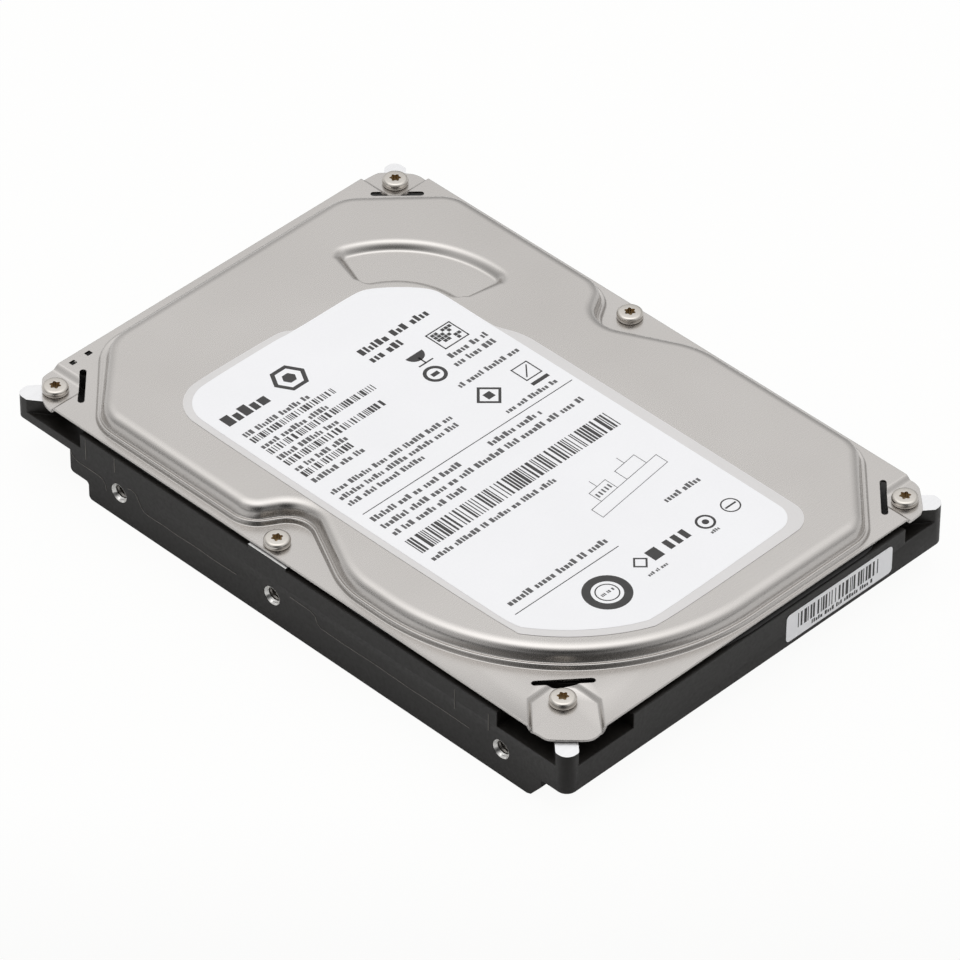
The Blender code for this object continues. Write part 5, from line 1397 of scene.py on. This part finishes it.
arm = cylinder(PIVOT, 7.6, 8.5, 16.6, 72)
finger = radial(HEAD_REST, [(0, 6.6), (12, 5.676), (30.0, 3.2), (32.0, 1.92)])
window = chaikin(radial(HEAD_REST, [(12, 2.6), (24, 1.4)]))
for z0, z1 in ((9.5, 10.7), (14.5, 15.7)):
    arm = join(arm, plate([finger, window, circle(along(HEAD_REST, 29.0), 1.2)], z0, z1))
arm = join(arm, plate([radial(COIL_REST, [(3, 6.2), (11.5, 3.9)])], 11.2, 14.0))
put(cut(arm, cylinder(PIVOT, 6.0, 0.0, 30.0, 72)), ARM, "actuator_arm")

# the coil: turns of wire side by side, seen as ridges
WIRE_TURNS = 11


def coil_ring(index, ridge_z, groove_z):
    part = index / (WIRE_TURNS * 2)
    loop = sector(PIVOT, 15.4 + 3.4 * part, 27.6 - 3.4 * part, COIL_REST - 15.0 + 8.4 * part,
                  COIL_REST + 15.0 - 8.4 * part, 16, 2.2 - 1.2 * part)
    return lift(loop, ridge_z if index % 2 else groove_z)


turns = range(WIRE_TURNS * 2 + 1)
put(grid_tube([coil_ring(i, 13.7, 13.6) for i in turns]
              + [coil_ring(i, 11.5, 11.6) for i in reversed(turns)], joined=True),
    COPPER, "voice_coil", sharp=60)
put(plate([sector(PIVOT, 11.9, 29.2, COIL_REST - COIL_HALF, COIL_REST + COIL_HALF, 24, 1.4),
           sector(PIVOT, 15.1, 27.9, COIL_REST - 16.0, COIL_REST + 16.0, 24, 2.2)], 11.4, 13.8),
    PLASTIC, "coil_frame")
beam = radial(HEAD_REST, [(25.5, 2.6), (32.5, 3.0), (51.0, 0.7), (53.6, 0.5)])
gap = radial(HEAD_REST, [(36.0, 1.2), (46.0, 0.45)])
for node, z0, z1 in (("upper_suspension", 14.0, 14.2), ("lower_suspension", 11.0, 11.2)):
    put(plate([beam, circle(along(HEAD_REST, 29.0), 1.0), gap], z0, z1), STEEL, node)
slider = radial(HEAD_REST, [(ARM_TO_HEAD - 0.62, 0.5), (ARM_TO_HEAD + 0.62, 0.5)])
for node, z0, z1 in (("upper_head_slider", 13.42, 13.72), ("lower_head_slider", 11.48, 11.78)):
    put(plate([slider], z0, z1), CERAMIC, node)
put(plate([radial(121.0, [(7.9, 1.7), (8.8, 1.7)])], 11.3, 13.9), CHIP, "preamp_chip")

# ---------------------------------------------------------------- latch and stops
# Latch outline from its pin, before corner cutting: x, y.
LATCH_ARM = [(-2.0, 1.6), (-7.0, 2.2), (-9.2, 0.6), (-9.0, -2.2), (-6.8, -3.4), (-2.0, -1.6),
             (2.0, -1.2), (13.2, -1.8), (14.2, -1.3), (14.0, 0.1), (12.0, 0.4), (2.0, 1.2)]
latch_line = chaikin([(LATCH[0] + x, LATCH[1] + y) for x, y in LATCH_ARM])
latch = join(plate([latch_line[::-1]], 11.5, 13.6), cylinder(LATCH, 2.3, 11.3, 13.8))
put(cut(latch, cylinder(LATCH, 1.2, 5.0, 20.0, 36)), LATCH_PLASTIC, "actuator_latch")
put(turned([(0.0, 15.0), (1.4, 15.0), (1.6, 14.8), (1.6, 14.1), (0.9, 14.1), (0.9, 8.5),
            (2.0, 8.5), (2.0, 7.9), (0.0, 7.9)], LATCH, 40), STEEL, "latch_pin")
STOP_R, STOP_REACH = 1.6, 25.0
stop_half = math.degrees(STOP_R / STOP_REACH)
for node, angle in (("crash_stop_inner", COIL_REST + COIL_HALF + stop_half + 0.8),
                    ("crash_stop_outer", COIL_REST - SWING - COIL_HALF - stop_half - 0.8)):
    put(turned([(0.0, 15.4), (1.35, 15.4), (STOP_R, 15.15), (STOP_R, 13.0), (1.45, 12.8),
                (1.45, 12.4), (STOP_R, 12.2), (STOP_R, 9.8), (0.0, 9.8)],
               polar(PIVOT, STOP_REACH, angle), 40), STOP, node)

# ---------------------------------------------------------------- flex cable and filters
put(plate([filleted([(-21.0, 45.5, 1.5), (-8.0, 45.5, 1.5), (-8.0, 57.0, 1.5),
                     (-21.0, 57.0, 1.5)], 8), circle(FLEX_SCREW, 1.6, 36)], 7.9, 12.2),
    PLASTIC, "flex_bracket")
# The ribbon's path from bracket to arm: x, y.
FLEX_PATH = [(-7.5, 52.0), (-4.6, 50.0), (-4.9, 45.0), (-7.6, 40.6), (-6.0, 37.8), (-1.6, 37.6)]
FLEX_Z0, FLEX_Z1, FLEX_THICK = 11.2, 14.1, 0.16


def ribbon(stations, steps=12):
    """Upright strip along a smooth curve through the stations."""
    knots = [Vector(p) for p in stations]
    path = []
    for i in range(len(knots) - 1):
        p0, p1 = knots[max(i - 1, 0)], knots[i]
        p2, p3 = knots[i + 1], knots[min(i + 2, len(knots) - 1)]
        for k in range(steps):
            part = k / steps
            path.append(0.5 * ((2 * p1) + (p2 - p0) * part
                               + (2 * p0 - 5 * p1 + 4 * p2 - p3) * part * part
                               + (3 * p1 - p0 - 3 * p2 + p3) * part ** 3))
    path.append(knots[-1])
    rows = []
    for i, point in enumerate(path):
        heading = (path[min(i + 1, len(path) - 1)] - path[max(i - 1, 0)]).normalized()
        across = Vector((-heading.y, heading.x)) * FLEX_THICK / 2
        left, right = point + across, point - across
        rows.append([(*left, FLEX_Z0), (*left, FLEX_Z1), (*right, FLEX_Z1), (*right, FLEX_Z0)])
    return grid_tube(rows)


flex = ribbon(FLEX_PATH)
dress(flex, FLEX, "flex_cable_fine", sharp=40)
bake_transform(flex)
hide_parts("flex_cable")

# The recirculation filter stands across the diagonal to the front right corner.
DIAGONAL = math.sqrt(0.5)
filter_x = SPINDLE[0] + 52.6 * DIAGONAL
filter_y = SPINDLE[1] - 52.6 * DIAGONAL
filter_line = [(filter_x + (u * DIAGONAL + v * DIAGONAL), filter_y + (u * DIAGONAL - v * DIAGONAL))
               for u, v in ((-7.0, 1.7), (7.0, 1.7), (7.0, -1.7), (-7.0, -1.7))]
put(bevel(plate([filter_line], 7.9, 14.2), 0.5, 4), FIBRE, "recirculation_filter")
put(bevel(plate([filleted([(-41.0, 43.0, 2.0), (-27.0, 43.0, 2.0), (-27.0, 57.0, 2.0),
                           (-38.0, 57.0, 2.0), (-41.0, 54.0, 1.0)], 6)], 7.9, 12.6), 0.12),
    FIBRE, "breather_filter")

# ---------------------------------------------------------------- circuit board
NOTCH_R = 18.2
notch_half = math.degrees(math.acos(11.0 / NOTCH_R))
board = ([(-43.2, 65.2), (-42.4, 66.0), (42.4, 66.0), (43.2, 65.2), (43.2, -12.0)]
         + arc(SPINDLE, NOTCH_R, 90 - notch_half, 90 + notch_half, 40) + [(-43.2, -12.0)])
put(plate([board[::-1]] + [circle(c, 1.7) for c in PCB_SCREWS], 1.4, 2.4), BOARD, "pcb_board")
insulator = [(-42.4, 64.2), (-42.4, -10.4), (-17.0, -10.4), (-12.0, -2.6), (12.0, -2.6),
             (17.0, -10.4), (42.4, -10.4), (42.4, 64.2)]
put(plate([insulator[::-1]] + [circle(c, 3.2) for c in PCB_SCREWS], 4.6, 5.1), FOAM,
    "pcb_insulator")
for node, sizes in (("controller_chip", (-17.0, -3.0, 22.0, 36.0, 2.7, 3.9)),
                    ("motor_driver_chip", (8.0, 16.0, 6.0, 14.0, 2.7, 3.7)),
                    ("cache_memory_chip", (8.0, 18.5, 28.0, 36.0, 2.7, 3.8))):
    put(bevel(box(*sizes), 0.12), CHIP, node)

# board underside: rings at the screws, test pads, contact rows and masked traces
PAD_Z = (1.372, 1.398)
TRACE_Z = (1.385, 1.399)
pads, tin, traces = Slabs(), Slabs(), Slabs()
for centre in PCB_SCREWS:
    tin.ring(centre, 3.5, 1.75, 48, *PAD_Z)
for _ in range(46):
    centre = (random.uniform(-38, 38), random.uniform(-8, 58))
    clear = min(math.dist(centre, screw) for screw in PCB_SCREWS) > 5
    if clear and math.dist(centre, SPINDLE) > 21:
        pads.poly(circle(centre, random.choice((0.5, 0.5, 0.8)), 20), *PAD_Z)
for i in range(22):
    pads.poly(circle((-2.4 + i * 1.8034, 64.0), 0.42, 16), *PAD_Z)
for i in range(18):
    for y0, y1 in ((40.0, 41.4), (46.0, 47.4)):
        tin.rect(-20.0 + i * 0.8, -19.6 + i * 0.8, y0, y1, *PAD_Z)
for i in range(4):
    tin.rect(-4.4 + i * 2.4, -2.9 + i * 2.4, -1.6, 1.4, *PAD_Z)
for _ in range(70):
    route = [(random.uniform(-36, 36), random.uniform(-6, 56))]
    heading = random.choice((0, 90, 180, 270))
    for _ in range(random.choice((2, 3, 4))):
        x, y = polar(route[-1], random.uniform(3, 13), heading)
        if abs(x) > 41.5 or not -9.5 < y < 63.5 or math.dist((x, y), SPINDLE) < 20:
            break
        route.append((x, y))
        heading += random.choice((-45, 45))
    if len(route) > 1:
        for i in range(random.choice((1, 2, 4))):
            traces.line([(x + i * 0.55, y + i * 0.55) for x, y in route], 0.22, *TRACE_Z)
extra(pads.done(), GOLD, "pcb_test_pads", "gold_pin")
extra(tin.done(), TIN, "pcb_tinned_pads", "steel")
extra(traces.done(), TRACE, "pcb_traces", "circuit_board")

# ---------------------------------------------------------------- connectors
sata = cut(box(-4.0, 38.8, 66.7, 73.2, 1.0, 6.9), box(-3.0, 37.8, 68.2, 80.0, 1.9, 6.0))
# two tongues, a key at the outer end of each, and the web between them
sata = join(sata,
            box(-1.6, 8.4, 67.6, 72.8, 2.9, 4.1), box(14.6, 36.4, 67.6, 72.8, 2.9, 4.1),
            box(-1.6, -0.6, 67.6, 72.8, 2.9, 5.2), box(35.4, 36.4, 67.6, 72.8, 2.9, 5.2),
            box(9.8, 13.2, 67.6, 73.2, 1.4, 6.4))
put(sata, PLASTIC, "sata_connector")
contacts = Slabs()
# contact rows: count, first x, pitch, half width
for count, first_x, pitch, half in ((7, -0.2, 1.18, 0.32), (15, 15.6, 1.27, 0.36)):
    for i in range(count):
        x = first_x + pitch * i
        contacts.rect(x - half, x + half, 68.3, 72.83, 4.08, 4.16)
extra(contacts.done(), GOLD, "sata_contacts", "gold_pin", sharp=30)
put(bevel(box(-18.4, -8.4, 66.8, 69.3, 1.2, 6.2), 0.2), PLASTIC, "jumper_pin_block",
    name="jumper_housing")
pins = Slabs()
for i in range(4):
    for z in (2.6, 4.6):
        x = -16.4 + 2.0 * i
        pins.rect(x - 0.25, x + 0.25, 68.9, 73.0, z - 0.25, z + 0.25)
extra(bevel(pins.done(), 0.08), GOLD, "jumper_pins", "gold_pin")


# ---------------------------------------------------------------- floor (metres from here on)
def floor_material():
    """Almost plain white to the camera; to other rays a card that darkens to the front left."""
    pale = Surface("pale_floor", rgb=(0.86, 0.86, 0.86), rough=0.8, Specular_IOR_Level=0.15)
    glow = pale.node("Emission")
    pale.set(glow, Color=(1.0, 1.0, 0.995, 1), Strength=1.0)
    distance = pale.node("VectorMath", operation="DOT_PRODUCT")
    distance.inputs[1].default_value = (-0.713, -0.701, 0.0)
    feed(pale.tree, distance.inputs[0], pale.node("NewGeometry").outputs["Position"])
    pale.color(pale.remap(distance.outputs["Value"], span=(0.085, 0.14), to=(0.86, 0.06)))

    def mix(factor, first, second):
        node = pale.node("MixShader")
        for socket, value in zip(node.inputs, (factor, first, second)):
            feed(pale.tree, socket, value)
        return node.outputs[0]

    lit = pale.shader.outputs[0]
    seen = mix(0.05, glow.outputs[0], lit)
    both = mix(pale.node("LightPath").outputs["Is Camera Ray"], lit, seen)
    feed(pale.tree, pale.tree.nodes["Material Output"].inputs[0], both)
    return pale.material


def stage_floor():
    shape = bmesh.new()
    bmesh.ops.create_grid(shape, x_segments=2, y_segments=2, size=6.0)
    floor = add_bmesh(shape)
    floor.name = "floor"
    floor.location.z = -0.00005
    floor.data.materials.append(floor_material())


stage_floor()

# ---------------------------------------------------------------- lights
BOX_AT = Vector((-0.10, 0.25, 1.15))
BOX_AIM = Vector((0, 0, 0.01))
box_light = bpy.data.lights.new("overhead_box", "AREA")
box_light.shape = "RECTANGLE"
box_light.size = box_light.size_y = 0.9
box_light.energy = 0.6
overhead = add(box_light, "overhead_box")
overhead.location = BOX_AT
overhead.rotation_euler = (BOX_AIM - BOX_AT).to_track_quat("-Z", "Y").to_euler()

# Soft room light: an even part, a least level, and broad lobes.
EVEN, LEAST = 0.96, 0.04
# direction, sharpness, strength
LOBES = [
    ((0.544, 0.535, 0.6465), 6.0, 0.26),
    ((0.05, 0.05, 1.0), 5.0, 0.87),
    ((-0.1, 0.75, 0.66), 8.0, -0.328),
    ((-0.83, 0.53, 0.2), 8.0, -0.526),
    ((0.8, -0.05, 0.6), 8.0, -0.351),
    ((0.544, -0.646, 0.535), 8.0, 0.105),
    ((0.53, -0.83, 0.2), 8.0, -0.468),
    ((-0.85, -0.1, 0.5), 8.0, 0.117),
    ((-0.55, -0.54, 0.64), 4.0, -0.585),
    ((-0.68, -0.68, 0.2), 5.0, -0.643),
    ((0.75, 0.62, 0.2), 8.0, -0.6),
]


def studio_world():
    """The lobes light the scene; the camera sees a flat near-white."""
    world = bpy.data.worlds.new("studio")
    SCENE.world = world
    world.use_nodes = True
    tree = world.node_tree
    tree.nodes.clear()
    output, room, backdrop, mix, path, coords = (
        tree.nodes.new("ShaderNode" + kind)
        for kind in ("OutputWorld", "Background", "Background", "MixShader", "LightPath",
                     "TexCoord"))
    backdrop.inputs[0].default_value = (0.99, 0.99, 0.99, 1)
    level = EVEN
    for direction, sharpness, strength in LOBES:
        facing = tree.nodes.new("ShaderNodeVectorMath")
        facing.operation = "DOT_PRODUCT"
        facing.inputs[1].default_value = Vector(direction).normalized()
        feed(tree, facing.inputs[0], coords.outputs["Generated"])
        ahead = math_node(tree, "MAXIMUM", facing.outputs["Value"], 0.0)
        lobe = math_node(tree, "POWER", ahead, sharpness)
        level = math_node(tree, "ADD", level, math_node(tree, "MULTIPLY", lobe, strength))
    room.inputs[0].default_value = (1, 1, 1, 1)
    feed(tree, room.inputs[1], math_node(tree, "MAXIMUM", level, LEAST))
    feed(tree, mix.inputs[0], path.outputs["Is Camera Ray"])
    feed(tree, mix.inputs[1], room.outputs[0])
    feed(tree, mix.inputs[2], backdrop.outputs[0])
    feed(tree, output.inputs[0], mix.outputs[0])


studio_world()

# ---------------------------------------------------------------- camera
AZIMUTH, ELEVATION = math.radians(-45.4847), math.radians(40.2796)
ROLL = 0.006516                         # radians
DISTANCE = 1.43603
TARGET = Vector((-1.4868, -5.1298, 10.0)) * MM

back = Vector((math.sin(AZIMUTH) * math.cos(ELEVATION),
               -math.cos(AZIMUTH) * math.cos(ELEVATION), math.sin(ELEVATION)))
level_right = Vector((math.cos(AZIMUTH), math.sin(AZIMUTH), 0.0))
level_up = back.cross(level_right)
right = level_right * math.cos(ROLL) + level_up * math.sin(ROLL)
up = -level_right * math.sin(ROLL) + level_up * math.cos(ROLL)
lens = bpy.data.cameras.new("camera")
lens.sensor_width = 36.0
lens.lens = 285.191475
lens.shift_x = -0.0113166667
lens.shift_y = 0.0009125
lens.clip_start = 0.05
lens.clip_end = 50.0
camera = add(lens, "camera")
turn = Matrix((right, up, back)).transposed()
camera.matrix_world = Matrix.Translation(TARGET + back * DISTANCE) @ turn.to_4x4()
SCENE.camera = camera

SCENE.view_settings.view_transform = "Standard"
SCENE.view_settings.look = "None"
SCENE.view_settings.exposure = 0.0
SCENE.view_settings.gamma = 1.0
